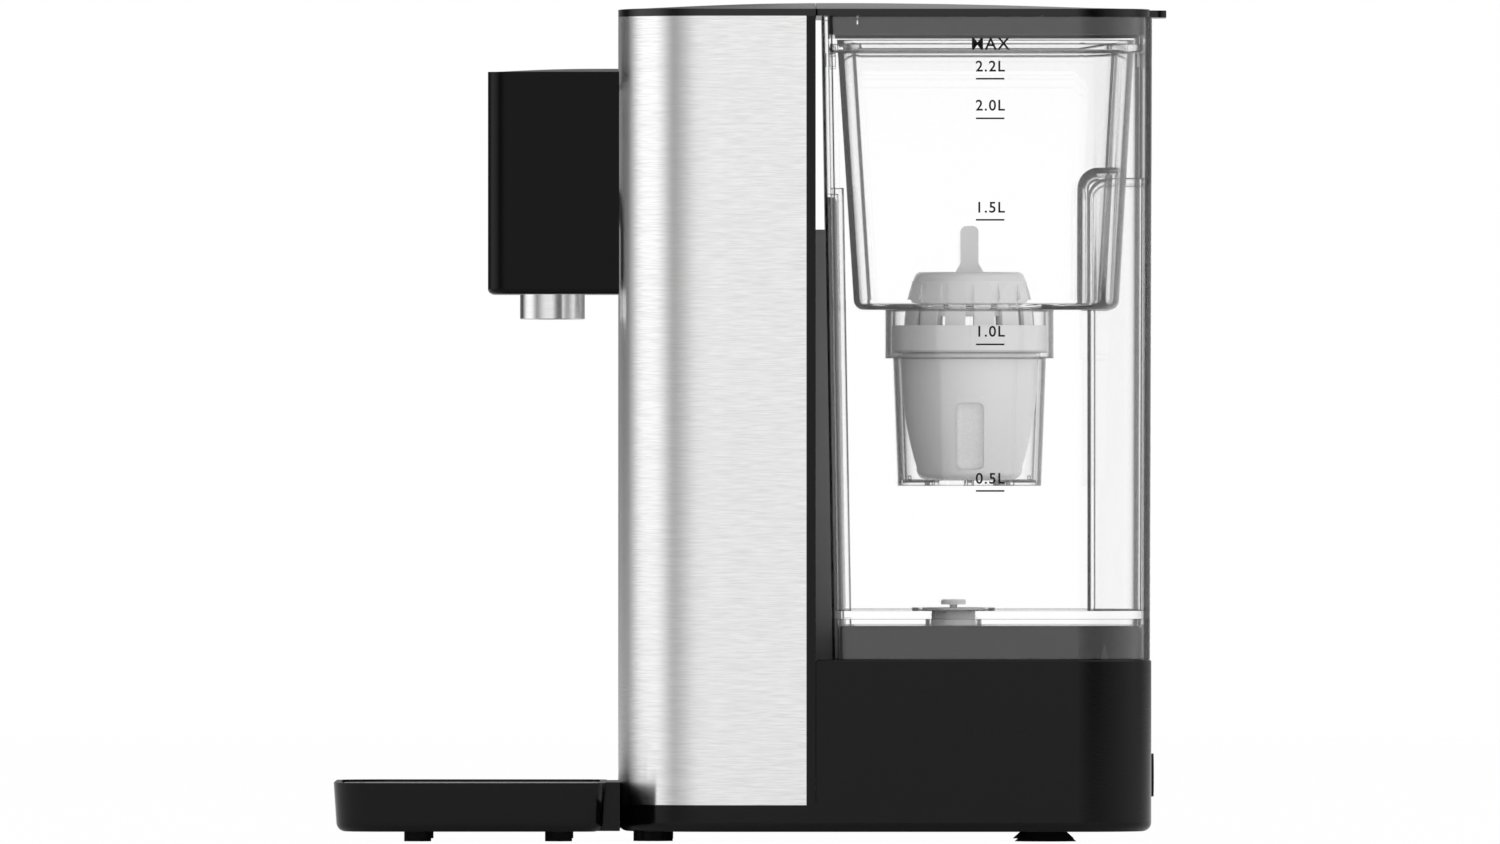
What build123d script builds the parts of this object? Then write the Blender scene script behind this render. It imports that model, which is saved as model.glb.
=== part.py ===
from build123d import *

import os

# Countertop hot water dispenser with a drip-through filter in its lift-off tank.
# Millimetres, +Z up, floor at Z = 0. The outlet and the drip tray face -Y, the tank stands at +Y, and
# the whole is symmetric about X = 0. The origin is the middle of the whole footprint, on the floor.

os.makedirs("parts", exist_ok=True)

MIN_Z = (Align.CENTER, Align.CENTER, Align.MIN)
MAX_Z = (Align.CENTER, Align.CENTER, Align.MAX)
FROM_AXIS = (Align.MIN, Align.CENTER, Align.MIN)
SIDES = (-1, 1)

# ------------------------------------------------------------------------------ sizes
# plan of the body
body_half_width = 70.0
body_front_y = -48.9
body_depth = 196.9
body_front_radius = 39.0
body_rear_radius = 27.0
column_depth = 72.9
column_strip = 3.2

# heights
foot_height = 3.7
base_band_height = 9.9
steel_height = 290.9
deck_rise = 53.5
plinth_height = 12.5
rim_height = 2.6
crown_height = 2.9
crown_peak = 78.0

# walls and clearances
shell_wall = 2.2
steel_thickness = 0.8
seat_gap = 0.2
slip_gap = 0.4
fit_gap = 0.1
plate_thickness = 2.2
plate_margin = 6.0
base_edge_radius = 3.4
lip_wall = 2.0
lip_depth = 6.7

# head and nozzle
head_half_width = 37.0
head_reach = 48.2
head_drop = 20.3
head_height = 82.2
head_corner_radius = 8.5
head_edge_radius = 2.0
head_lid_thickness = 2.6
head_crown = 1.5
neck_half_width = 30.0
neck_inset = 6.0
neck_reach = 7.0
nozzle_reach = 24.5
nozzle_radius = 12.0
nozzle_drop = 9.2
nozzle_wall = 1.2
nozzle_sink = 1.6
nozzle_mouth_chamfer = 1.2
outlet_radius = 3.6
nozzle_spigot_radius = 5.0
nozzle_spigot_height = 9.0
panel_half_width = 28.0
panel_depth = 37.0
panel_thickness = 1.5
panel_corner = 5.0

# tank
tank_wall = 2.2
tank_gap = 2.3
tank_front_draft = 3.9
tank_side_draft = 0.6
tank_rear_draft = 0.8
tank_front_radius = 6.0
tank_overhang = 0.3
tank_floor_rise = 14.9
tank_floor_thickness = 2.9
grip_half_width = 29.0
grip_depth = 21.6
grip_top_drop = 61.4
grip_radius = 6.0
ledge_width = 8.0
ledge_height = 4.9

# spine behind the column, and the tank's recess round it
spine_half_width = 20.0
spine_drop = 66.5
spine_shoulder_drop = 12.0
spine_top_reach = 7.6
spine_bottom_reach = 10.6
spine_step = 4.0
spine_gap = 0.8
spine_wall = 2.0

# funnel
funnel_wall = 2.0
funnel_front_inset = 3.7
funnel_side_inset = 4.6
funnel_rear_inset = 4.6
funnel_front_draft = 6.1
funnel_side_draft = 4.0
funnel_rear_draft = 5.5
funnel_front_radius = 9.0
funnel_depth = 94.8
funnel_floor_thickness = 2.4
funnel_edge_radius = 4.0
flange_drop = 13.4
flange_thickness = 3.3
flange_edge_radius = 1.3
flange_gap = 0.6
flange_lip_height = 1.6

# cup under the funnel
cup_y = 81.1
collar_radius = 31.35
collar_height = 17.7
cup_wall = 2.0
cup_top_radius = 28.5
cup_bottom_radius = 26.7
cup_depth = 47.2

# cartridge
cartridge_flange_radius = 28.8
cartridge_flange_height = 9.2
cartridge_wall = 1.6
cartridge_top_radius = 25.0
cartridge_waist_radius = 23.6
cartridge_waist_drop = 27.0
cartridge_end_radius = 18.6
cartridge_edge_radius = 3.6
dome_radius = 24.2
dome_shoulder_radius = 22.9
dome_top_radius = 19.6
dome_height = 19.8
dome_wall = 1.6
dome_slots = 14
dome_slot_width = 3.2
dome_groove_radius = 21.3
tab_width = 22.0
tab_thickness = 6.6
tab_base_thickness = 13.0
tab_height = 17.0
window_count = 4
seal_thickness = 1.0
media_gap = 0.3

# drip tray
tray_half_width = 66.0
tray_reach = 105.0
tray_rear_gap = 4.6
tray_rim_rise = 18.0
tray_front_radius = 18.0
tray_rear_radius = 9.0
tray_wall = 2.4
tray_floor_thickness = 2.2
tray_draft = 1.2
tray_edge_radius = 3.4
tray_neck_half_width = 40.0
tray_foot_radius = 5.0
grille_thickness = 1.6
grille_sink = 0.9
grille_ledge = 2.2
slot_width = 3.6
slot_pitch = 8.0
slot_count = 14

# tank valve and its seat
valve_y = 75.2
valve_boss_radius = 15.5
valve_boss_height = 1.0
valve_collar_radius = 10.5
valve_collar_drop = 8.2
valve_bore_radius = 8.4
valve_port_radius = 3.4
spigot_radius = 5.8
spigot_wall = 1.4
spigot_drop = 7.0
poppet_radius = 4.6
poppet_thickness = 1.9
valve_travel = 1.1
stem_radius = 1.4
seat_flange_radius = 16.0
seat_flange_thickness = 1.2
seat_wall = 1.8
seat_floor_thickness = 2.0
seat_cup_depth = 12.0
barb_bore_radius = 2.0

# feet
front_foot_radius = 7.3
rear_foot_radius = 11.4
front_foot_x = 36.0
front_foot_inset = 12.9
rear_foot_x = 44.0
rear_foot_inset = 39.1
foot_pin_radius = 3.0
foot_pin_height = 1.8

# smaller features
foot_groove_count = 12
foot_groove_width = 1.4
foot_groove_depth = 0.7
foot_cup_rim = 2.4
foot_cup_radius = 1.0
plinth_front_radius = 3.0
boss_radius = 3.6
boss_inset = 13.0
column_boss_x = 46.0
column_boss_inset = 34.0
screw_radius = 1.5
screw_head_radius = 2.8
screw_head_height = 1.2
screw_length = 8.0
screw_bite = 4.6
deck_edge_chamfer = 0.6
window_width = 68.0
window_height = 30.0
window_rise = 10.0
gland_x = -36.0
gland_radius = 6.0
gland_bore = 3.4
gland_rim = 1.6
gland_rim_width = 2.0
gland_reach = 4.0
gland_recess = 5.0
vent_rows = (0.0, 96.0)
vent_pitch = 6.0
vent_count = 9
vent_width = 2.4
vent_length = 24.0
frame_wall = 2.0
spine_edge_radius = 2.0
head_crown_setback = 8.0
head_lip_depth = 4.0
panel_margin = 5.0
nozzle_recess = 1.4
ledge_reach = 2.8
ledge_front_x = 44.0
ledge_rear_x = 34.0
valve_flange_radius = 11.2
valve_flange_thickness = 0.8
valve_wall = 1.4
seal_ring_height = 1.6
seal_ring_depth = 0.6
seal_ring_stand = 0.4
guide_width = 2.0
guide_wall = 0.8
stem_inset = 3.0
barb_length = 9.0
barb_radius = 3.4
pin_web_width = 1.6
pin_web_height = 2.0
pin_radius = 1.1
funnel_recess_gap = 1.8
drip_circle = 15.0
drip_count = 8
drip_length = 9.0
drip_width = 2.0
window_side = 10.3
window_side_height = 24.8
dome_brow = 2.4
window_corner = 2.2
cup_rib_radius = 22.2
cup_rib_length = 1.4
cup_rib_width = 0.8
cup_rib_height = 1.8
recess_corner = 1.6
grip_corner = 2.0
dome_groove_height = 16.4
dome_slot_height = 3.4
lid_front_radius = 1.0
lip_notch_y = (39.6, 107.4)
lip_notch_width = 0.9
lip_notch_height = 3.1
lip_groove_depth = 0.3
lid_tab_half_width = 18.0
lid_tab_reach = 6.5
tray_foot_x = 45.0
tray_foot_insets = (31.0, 83.0)
slot_length = 83.0
trim_height = 12.0

# pump, in the base under the tank
pump_x = 18.0
pump_radius = 16.0
pump_width = 12.0
pump_wall = 1.5
pump_outlet_rise = 10.0
pump_cradle_floor = 3.0
pump_cradle_half_width = 12.0
pump_cradle_shortfall = 3.0
pump_cradle_height = 12.0
motor_radius = 13.5
motor_length = 28.0
motor_bore_depth = 22.0
motor_nose_radius = 5.0
motor_nose_length = 2.0
shaft_radius = 1.5
rotor_gap = 1.0
rotor_disc_thickness = 1.6
rotor_hub_radius = 4.0
vane_count = 5
vane_thickness = 1.4
vane_height = 5.0

# soft tubes on the barbs
tube_wall = 1.5
inlet_bend = 8.0
feed_bend = 18.0
outlet_bend = 13.0

# heater and steam separator, in the column
heater_y = -14.0
heater_radius = 15.0
heater_length = 98.0
heater_wall = 0.8
heater_cap_height = 9.0
heater_cap_rim = 1.2
riser_gap = 3.0
clamp_inset = 14.0
clamp_height = 8.0
clamp_wall = 2.2
clamp_arm_width = 12.0
separator_rise = 24.0
separator_x = 12.0
separator_half_width = 24.0
separator_depth = 38.0
separator_height = 32.0
separator_wall = 1.8
separator_spout_rise = 8.0
separator_vent_radius = 3.0
separator_vent_height = 6.0
separator_lug_rise = 10.0
separator_lug_height = 12.0
separator_lug_thickness = 3.0
separator_lug_spacing = 24.0

# circuit boards
board_thickness = 1.6
power_board_x = -58.0
power_board_front_y = -24.0
power_board_width = 40.0
power_board_rise = 46.0
power_board_height = 120.0
standoff_radius = 2.5
standoff_inset = 6.0
relay_size = (14.0, 11.0, 19.0)
transformer_size = (20.0, 22.0, 26.0)
capacitor_radius = 6.0
capacitor_length = 16.0
fin_count = 5
fin_pitch = 4.0
fin_size = (14.0, 1.2, 24.0)
touch_board_drop = 3.6
touch_board_post = 2.0
touch_board_inset = 4.0
level_board_half_width = 7.0
level_board_stand = 2.0
level_board_rise = 14.0
level_board_height = 138.0
level_board_post = 1.6

# ------------------------------------------------------------------------------ places that follow
base_bottom_z = foot_height
steel_bottom_z = base_bottom_z + base_band_height
steel_top_z = steel_bottom_z + steel_height
deck_z = steel_bottom_z + deck_rise
plinth_top_z = deck_z + plinth_height
edge_z = steel_top_z + rim_height
body_rear_y = body_front_y + body_depth
column_rear_y = body_front_y + column_depth
steel_rear_y = column_rear_y - column_strip - seat_gap
crown_peak_y = body_front_y + crown_peak
head_front_y = body_front_y - head_reach
head_top_z = steel_top_z - head_drop
head_bottom_z = head_top_z - head_height
nozzle_y = body_front_y - nozzle_reach
tank_bottom_z = deck_z + seat_gap
tank_top_z = steel_top_z - seat_gap
tank_front_y = column_rear_y + tank_gap
tank_rear_y = body_rear_y + tank_overhang
tank_half_width = body_half_width - slip_gap
tank_floor_z = tank_bottom_z + tank_floor_rise
tank_floor_top_z = tank_floor_z + tank_floor_thickness
tank_height = tank_top_z - tank_bottom_z


# ------------------------------------------------------------------------------ outlines
def plan(front, rear, half_width, front_radius, rear_radius, height=0.0):
    """A rectangle with rounded front and rear corners, on the horizontal plane at a height."""
    with BuildSketch(Plane.XY.offset(height)) as outline:
        with Locations((0, (front + rear) / 2)):
            Rectangle(2 * half_width, rear - front)
        if front_radius > 0:
            fillet(outline.vertices().group_by(Axis.Y)[0], front_radius)
        if rear_radius > 0:
            fillet(outline.vertices().group_by(Axis.Y)[-1], rear_radius)
    return outline.sketch


def body_plan(height, inset=0.0, front=body_front_y):
    """The outline of the whole body, or of its part behind a straight front."""
    is_whole = front == body_front_y
    front_corner = body_front_radius - inset if is_whole else 0
    return plan(
        front + inset,
        body_rear_y - inset,
        body_half_width - inset,
        front_corner,
        body_rear_radius - inset,
        height,
    )


def column_plan(height, inset=0.0, rear=column_rear_y):
    """The outline of the column, with a straight rear."""
    return plan(body_front_y + inset, rear, body_half_width - inset, body_front_radius - inset, 0, height)


def tank_plan(height, inset=0.0):
    """The tank's outline at a height: its walls lean in towards the bottom."""
    down = (tank_top_z - height) / tank_height
    return plan(
        tank_front_y + tank_front_draft * down + inset,
        tank_rear_y - tank_rear_draft * down - inset,
        tank_half_width - tank_side_draft * down - inset,
        tank_front_radius - inset,
        body_rear_radius - inset,
        height,
    )


def plinth_plan(height, inset=0.0):
    """The outline of the plinth inside the tank's skirt, with a notch that clears the tank's recess."""
    margin = tank_wall + slip_gap + inset
    front = tank_front_y + tank_front_draft + margin
    rear = tank_rear_y - tank_rear_draft - margin
    half_width = tank_half_width - tank_side_draft - margin
    notch_half_width = spine_half_width + spine_gap + margin
    notch_depth = column_rear_y + spine_bottom_reach + spine_gap + margin - front
    with BuildSketch(Plane.XY.offset(height)) as outline:
        with Locations((0, (front + rear) / 2)):
            Rectangle(2 * half_width, rear - front)
        fillet(outline.vertices().group_by(Axis.Y)[0], plinth_front_radius)
        fillet(outline.vertices().group_by(Axis.Y)[-1], body_rear_radius - margin)
        with Locations((0, front)):
            Rectangle(2 * notch_half_width, 2 * notch_depth, mode=Mode.SUBTRACT)
    return outline.sketch


def crown(edge, rise, half_width, front, peak, rear):
    """A shallow dome over a rectangle, at the edge height along its sides and risen at its peak."""
    margin = 5.0
    across = [(half_width + margin) * step / 4 for step in range(-4, 5)]
    ahead = [peak + (front - margin - peak) * step / 5 for step in range(5, 0, -1)]
    behind = [peak + (rear + margin - peak) * step / 6 for step in range(7)]
    rows = []
    for y in ahead + behind:
        reach = peak - front if y < peak else rear - peak
        lengthwise = 1 - ((y - peak) / reach) ** 2
        rows.append([Vector(x, y, edge + rise * lengthwise * (1 - (x / half_width) ** 2)) for x in across])
    return Face.make_surface_from_array_of_points(rows, tol=0.005, min_deg=2, max_deg=4)


lid_rear_y = body_rear_y - 0.6
top_crown = crown(edge_z, crown_height, body_half_width, body_front_y, crown_peak_y, lid_rear_y)

# ------------------------------------------------------------------------------ feet and base
front_foot_spots = [(side * front_foot_x, body_front_y + front_foot_inset) for side in SIDES]
rear_foot_spots = [(side * rear_foot_x, body_rear_y - rear_foot_inset) for side in SIDES]

with BuildPart() as front_feet:
    with Locations(*[(x, y, 0) for x, y in front_foot_spots]):
        Cylinder(front_foot_radius, foot_height, align=MIN_Z)
        with PolarLocations(front_foot_radius, foot_groove_count):
            Box(2 * foot_groove_depth, foot_groove_width, foot_height, align=MIN_Z, mode=Mode.SUBTRACT)
        Cylinder(foot_pin_radius, foot_height + foot_pin_height, align=MIN_Z)
front_feet.part.label = "front_feet"
export_step(front_feet.part, "parts/front_feet.step")

with BuildPart() as rear_feet:
    with Locations(*[(x, y, 0) for x, y in rear_foot_spots]):
        Cone(rear_foot_radius, front_foot_radius, foot_height, align=MIN_Z)
        cup_mouth = rear_foot_radius - foot_cup_rim
        Cone(cup_mouth, foot_cup_radius, foot_height / 2, align=MIN_Z, mode=Mode.SUBTRACT)
        with Locations((0, 0, foot_height)):
            Cylinder(foot_pin_radius, foot_pin_height, align=MIN_Z)
rear_feet.part.label = "rear_feet"
export_step(rear_feet.part, "parts/rear_feet.step")

plate_top_z = base_bottom_z + plate_thickness
column_boss_spots = [(side * column_boss_x, body_front_y + column_boss_inset) for side in SIDES]
tank_boss_spots = [(side * (body_half_width - boss_inset), column_rear_y + boss_inset) for side in SIDES]
tank_boss_spots += [(side * (body_half_width - body_rear_radius), body_rear_y - boss_inset) for side in SIDES]
rear_box_front_y = column_rear_y + seat_gap
seat_well_radius = valve_collar_radius + slip_gap
seat_outer_radius = seat_well_radius + seat_wall
collar_bottom_z = tank_floor_z - valve_collar_drop
seat_well_z = collar_bottom_z - slip_gap
window_z = steel_bottom_z + window_rise

with BuildPart() as base_housing:
    extrude(body_plan(base_bottom_z), amount=base_band_height)
    extrude(body_plan(steel_bottom_z, front=rear_box_front_y), amount=deck_rise)
    fillet(base_housing.edges().group_by(Axis.Z)[0], base_edge_radius)
    chamfer(base_housing.edges().group_by(Axis.Z)[-1], deck_edge_chamfer)
    extrude(plinth_plan(deck_z), amount=plinth_height)
    chamfer(base_housing.edges().group_by(Axis.Z)[-1], deck_edge_chamfer)
    # hollow, open below for the plate
    band_room = base_band_height - plate_thickness - shell_wall
    extrude(body_plan(plate_top_z, shell_wall), amount=band_room, mode=Mode.SUBTRACT)
    box_room = base_band_height + deck_rise - plate_thickness - shell_wall
    extrude(body_plan(plate_top_z, shell_wall, front=rear_box_front_y), amount=box_room, mode=Mode.SUBTRACT)
    extrude(plinth_plan(deck_z - shell_wall, shell_wall), amount=plinth_height, mode=Mode.SUBTRACT)
    extrude(body_plan(base_bottom_z, plate_margin), amount=plate_thickness, mode=Mode.SUBTRACT)
    # bosses for the plate's screws
    with Locations(*[(x, y, plate_top_z) for x, y in column_boss_spots]):
        Cylinder(boss_radius, band_room, align=MIN_Z)
        Cylinder(screw_radius, band_room, align=MIN_Z, mode=Mode.SUBTRACT)
    with Locations(*[(x, y, plate_top_z) for x, y in tank_boss_spots]):
        Cylinder(boss_radius, box_room + plinth_height, align=MIN_Z)
        Cylinder(screw_radius, screw_length, align=MIN_Z, mode=Mode.SUBTRACT)
    # the tank's valve seat, the way into the column and the mains inlet
    with Locations((0, valve_y, plinth_top_z)):
        Cylinder(seat_flange_radius + fit_gap, seat_flange_thickness, align=MAX_Z, mode=Mode.SUBTRACT)
        Cylinder(seat_outer_radius + fit_gap, 2 * shell_wall, align=MAX_Z, mode=Mode.SUBTRACT)
    with Locations((0, rear_box_front_y, window_z)):
        Box(window_width, 3 * shell_wall, window_height, align=MIN_Z, mode=Mode.SUBTRACT)
    with Locations(Location((gland_x, body_rear_y, window_z), (90, 0, 0))):
        Cylinder(gland_radius, 3 * shell_wall, mode=Mode.SUBTRACT)
base_housing.part.label = "base_housing"
export_step(base_housing.part, "parts/base_housing.step")

with BuildPart() as base_plate:
    extrude(body_plan(base_bottom_z, plate_margin + slip_gap), amount=plate_thickness)
    with Locations(*[(x, y, base_bottom_z) for x, y in front_foot_spots + rear_foot_spots]):
        Cylinder(foot_pin_radius + fit_gap, plate_thickness, align=MIN_Z, mode=Mode.SUBTRACT)
    with Locations(*[(x, y, base_bottom_z) for x, y in column_boss_spots + tank_boss_spots]):
        Cylinder(screw_radius + fit_gap, plate_thickness, align=MIN_Z, mode=Mode.SUBTRACT)
        Cylinder(screw_head_radius + fit_gap, screw_head_height, align=MIN_Z, mode=Mode.SUBTRACT)
    with Locations(*[(0, y, base_bottom_z) for y in vent_rows]):
        with GridLocations(vent_pitch, 0, vent_count, 1):
            Box(vent_width, vent_length, plate_thickness, align=MIN_Z, mode=Mode.SUBTRACT)
base_plate.part.label = "base_plate"
export_step(base_plate.part, "parts/base_plate.step")

with BuildPart() as plate_screws:
    with Locations(*[(x, y, base_bottom_z) for x, y in column_boss_spots + tank_boss_spots]):
        Cylinder(screw_head_radius, screw_head_height, align=MIN_Z)
        Cylinder(screw_radius - fit_gap, plate_thickness + screw_bite, align=MIN_Z)
plate_screws.part.label = "plate_screws"
export_step(plate_screws.part, "parts/plate_screws.step")

with BuildPart() as mains_inlet:
    with Locations(Location((gland_x, body_rear_y + seat_gap, window_z), (90, 0, 0))):
        Cylinder(gland_radius - fit_gap, shell_wall + gland_reach, align=MIN_Z)
        Cylinder(gland_radius + gland_rim_width, gland_rim, align=MAX_Z)
    with Locations(Location((gland_x, body_rear_y + gland_rim + seat_gap, window_z), (90, 0, 0))):
        Cylinder(gland_bore, gland_recess, align=MIN_Z, mode=Mode.SUBTRACT)
mains_inlet.part.label = "mains_inlet"
export_step(mains_inlet.part, "parts/mains_inlet.step")

# ------------------------------------------------------------------------------ column
neck_bottom_z = head_bottom_z + neck_inset
neck_height = head_height - head_lid_thickness - 2 * neck_inset
frame_inset = steel_thickness + fit_gap
frame_inner_inset = frame_inset + frame_wall
strip_front_y = column_rear_y - column_strip

with BuildPart() as steel_panel:
    extrude(column_plan(steel_bottom_z, rear=steel_rear_y), amount=steel_height)
    hollow = column_plan(steel_bottom_z, steel_thickness, rear=steel_rear_y)
    extrude(hollow, amount=steel_height, mode=Mode.SUBTRACT)
    with Locations((0, body_front_y, neck_bottom_z - slip_gap)):
        Box(
            2 * (neck_half_width + slip_gap),
            4 * frame_inner_inset,
            neck_height + 2 * slip_gap,
            align=MIN_Z,
            mode=Mode.SUBTRACT,
        )
steel_panel.part.label = "steel_panel"
export_step(steel_panel.part, "parts/steel_panel.step")

with BuildPart() as column_frame:
    extrude(column_plan(steel_bottom_z, frame_inset, rear=strip_front_y), amount=steel_height)
    hollow = column_plan(steel_bottom_z, frame_inner_inset, rear=strip_front_y)
    extrude(hollow, amount=steel_height, mode=Mode.SUBTRACT)
    with Locations((0, column_rear_y, steel_bottom_z)):
        Box(
            2 * body_half_width,
            column_strip,
            steel_height,
            align=(Align.CENTER, Align.MAX, Align.MIN),
        )
    with Locations((0, body_front_y, neck_bottom_z - slip_gap)):
        Box(
            2 * (neck_half_width + slip_gap),
            4 * frame_inner_inset,
            neck_height + 2 * slip_gap,
            align=MIN_Z,
            mode=Mode.SUBTRACT,
        )
    with Locations((0, column_rear_y, window_z)):
        Box(window_width, 3 * column_strip, window_height, align=MIN_Z, mode=Mode.SUBTRACT)
column_frame.part.label = "column_frame"
export_step(column_frame.part, "parts/column_frame.step")

with BuildPart() as column_cap:
    extrude(column_plan(steel_top_z), amount=trim_height)
    extrude(top_crown, amount=2 * trim_height, dir=(0, 0, 1), mode=Mode.SUBTRACT)
    lip_inset = frame_inner_inset + fit_gap
    lip_plan = column_plan(steel_top_z, lip_inset, rear=strip_front_y - fit_gap)
    extrude(lip_plan, amount=-lip_depth)
    lip_rear = strip_front_y - fit_gap - lip_wall
    inner = column_plan(steel_top_z - lip_depth, lip_inset + lip_wall, rear=lip_rear)
    extrude(inner, amount=lip_depth + rim_height - lip_wall, mode=Mode.SUBTRACT)
column_cap.part.label = "column_cap"
export_step(column_cap.part, "parts/column_cap.step")

spine_top_z = steel_top_z - spine_drop
spine_rise = spine_top_z - deck_z
shoulder_z = spine_top_z - spine_shoulder_drop
spine_top_y = column_rear_y + spine_top_reach
spine_bottom_y = column_rear_y + spine_bottom_reach
step_y = column_rear_y + spine_step
spine_lean = (spine_bottom_y - spine_top_y) / spine_rise

with BuildPart() as rear_spine:
    with BuildSketch(Plane.YZ.offset(-spine_half_width)):
        with BuildLine():
            Polyline(
                (column_rear_y, deck_z),
                (spine_bottom_y, deck_z),
                (spine_top_y, spine_top_z),
                (step_y, spine_top_z),
                (step_y, shoulder_z),
                (column_rear_y, shoulder_z),
                close=True,
            )
        make_face()
    extrude(amount=2 * spine_half_width)
    back_edges = rear_spine.faces().sort_by(Axis.Y)[-1].edges()
    fillet(back_edges.group_by(Axis.Z)[1] + back_edges.group_by(Axis.Z)[-1], spine_edge_radius)
    with BuildSketch(Plane.YZ.offset(spine_wall - spine_half_width)):
        with BuildLine():
            Polyline(
                (column_rear_y, deck_z + spine_wall),
                (spine_bottom_y - spine_wall, deck_z + spine_wall),
                (spine_bottom_y - spine_wall - spine_lean * (shoulder_z - deck_z), shoulder_z - spine_wall),
                (column_rear_y, shoulder_z - spine_wall),
                close=True,
            )
        make_face()
    extrude(amount=2 * (spine_half_width - spine_wall), mode=Mode.SUBTRACT)
rear_spine.part.label = "rear_spine"
export_step(rear_spine.part, "parts/rear_spine.step")

# ------------------------------------------------------------------------------ head and nozzle
head_crown_face = crown(
    head_top_z,
    head_crown,
    head_half_width,
    head_front_y,
    body_front_y - head_crown_setback,
    body_front_y + head_reach,
)
head_split_z = head_top_z - head_lid_thickness


def head_plan(height, inset=0.0, rear=body_front_y + body_front_radius / 2):
    """The outline of the head, running on into the column."""
    return plan(head_front_y + inset, rear, head_half_width - inset, head_corner_radius - inset, 0, height)


with BuildPart() as head_shell:
    extrude(head_plan(head_bottom_z), amount=head_split_z - head_bottom_z)
    bottom_edges = head_shell.edges().group_by(Axis.Z)[0]
    fillet(bottom_edges.sort_by(Axis.Y)[:-1], head_edge_radius)
    extrude(column_plan(head_bottom_z, -fit_gap), amount=head_height, mode=Mode.SUBTRACT)
    room = head_plan(head_bottom_z + shell_wall, shell_wall, rear=body_front_y - shell_wall)
    extrude(room, amount=head_height, mode=Mode.SUBTRACT)
    with Locations((0, body_front_y + neck_reach, neck_bottom_z)):
        Box(
            2 * neck_half_width,
            neck_reach + shell_wall,
            neck_height,
            align=(Align.CENTER, Align.MAX, Align.MIN),
        )
    with Locations((0, body_front_y + neck_reach, neck_bottom_z + shell_wall)):
        Box(
            2 * (neck_half_width - shell_wall),
            neck_reach + 2 * shell_wall,
            neck_height - 2 * shell_wall,
            align=(Align.CENTER, Align.MAX, Align.MIN),
            mode=Mode.SUBTRACT,
        )
    with Locations((0, nozzle_y, head_bottom_z)):
        Cylinder(nozzle_spigot_radius + fit_gap, 2 * shell_wall, align=MIN_Z, mode=Mode.SUBTRACT)
        Cylinder(nozzle_radius + fit_gap, nozzle_sink, align=MIN_Z, mode=Mode.SUBTRACT)
head_shell.part.label = "head_shell"
export_step(head_shell.part, "parts/head_shell.step")

panel_seat_z = head_top_z + head_crown - panel_thickness


def panel_plan(inset=0.0):
    """The outline of the touch panel in the top of the head."""
    front = head_front_y + panel_margin + inset
    rear = head_front_y + panel_margin + panel_depth - inset
    corner = panel_corner - inset
    return plan(front, rear, panel_half_width - inset, corner, corner, panel_seat_z)


with BuildPart() as head_lid:
    extrude(head_plan(head_split_z), amount=trim_height)
    extrude(head_crown_face, amount=2 * trim_height, dir=(0, 0, 1), mode=Mode.SUBTRACT)
    extrude(column_plan(head_split_z, -fit_gap), amount=trim_height, mode=Mode.SUBTRACT)
    lip_rear = body_front_y - shell_wall - fit_gap
    extrude(head_plan(head_split_z, shell_wall + fit_gap, rear=lip_rear), amount=-head_lip_depth)
    room = head_plan(head_split_z - head_lip_depth, shell_wall + lip_wall, rear=lip_rear - lip_wall)
    extrude(room, amount=head_lip_depth, mode=Mode.SUBTRACT)
    extrude(panel_plan(), amount=trim_height, mode=Mode.SUBTRACT)
head_lid.part.label = "head_lid"
export_step(head_lid.part, "parts/head_lid.step")

with BuildPart() as touch_panel:
    extrude(panel_plan(fit_gap), amount=trim_height)
    extrude(head_crown_face, amount=2 * trim_height, dir=(0, 0, 1), mode=Mode.SUBTRACT)
touch_panel.part.label = "touch_panel"
export_step(touch_panel.part, "parts/touch_panel.step")

nozzle_bottom_z = head_bottom_z - nozzle_drop
nozzle_top_z = head_bottom_z + nozzle_sink

with BuildPart() as nozzle_sleeve:
    with Locations((0, nozzle_y, nozzle_bottom_z)):
        Cylinder(nozzle_radius, nozzle_drop + nozzle_sink - fit_gap, align=MIN_Z)
        Cylinder(nozzle_radius - nozzle_wall, nozzle_drop + nozzle_sink, align=MIN_Z, mode=Mode.SUBTRACT)
    chamfer(nozzle_sleeve.edges().group_by(Axis.Z)[0], nozzle_wall / 4)
nozzle_sleeve.part.label = "nozzle_sleeve"
export_step(nozzle_sleeve.part, "parts/nozzle_sleeve.step")

with BuildPart() as nozzle_insert:
    insert_radius = nozzle_radius - nozzle_wall - fit_gap
    with Locations((0, nozzle_y, nozzle_bottom_z + nozzle_recess)):
        Cylinder(insert_radius, nozzle_drop + nozzle_sink - nozzle_recess, align=MIN_Z)
    with Locations((0, nozzle_y, nozzle_top_z)):
        Cylinder(nozzle_spigot_radius, nozzle_spigot_height, align=MIN_Z)
    with Locations((0, nozzle_y, nozzle_bottom_z)):
        Cylinder(outlet_radius, head_height, align=MIN_Z, mode=Mode.SUBTRACT)
    mouth = nozzle_insert.edges().filter_by(GeomType.CIRCLE).group_by(Axis.Z)[0].sort_by(SortBy.RADIUS)[0]
    chamfer(mouth, nozzle_mouth_chamfer)
nozzle_insert.part.label = "nozzle_insert"
export_step(nozzle_insert.part, "parts/nozzle_insert.step")

# ------------------------------------------------------------------------------ tank
recess_bottom_y = spine_bottom_y + spine_gap
recess_top_z = spine_top_z + spine_gap + slip_gap


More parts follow.
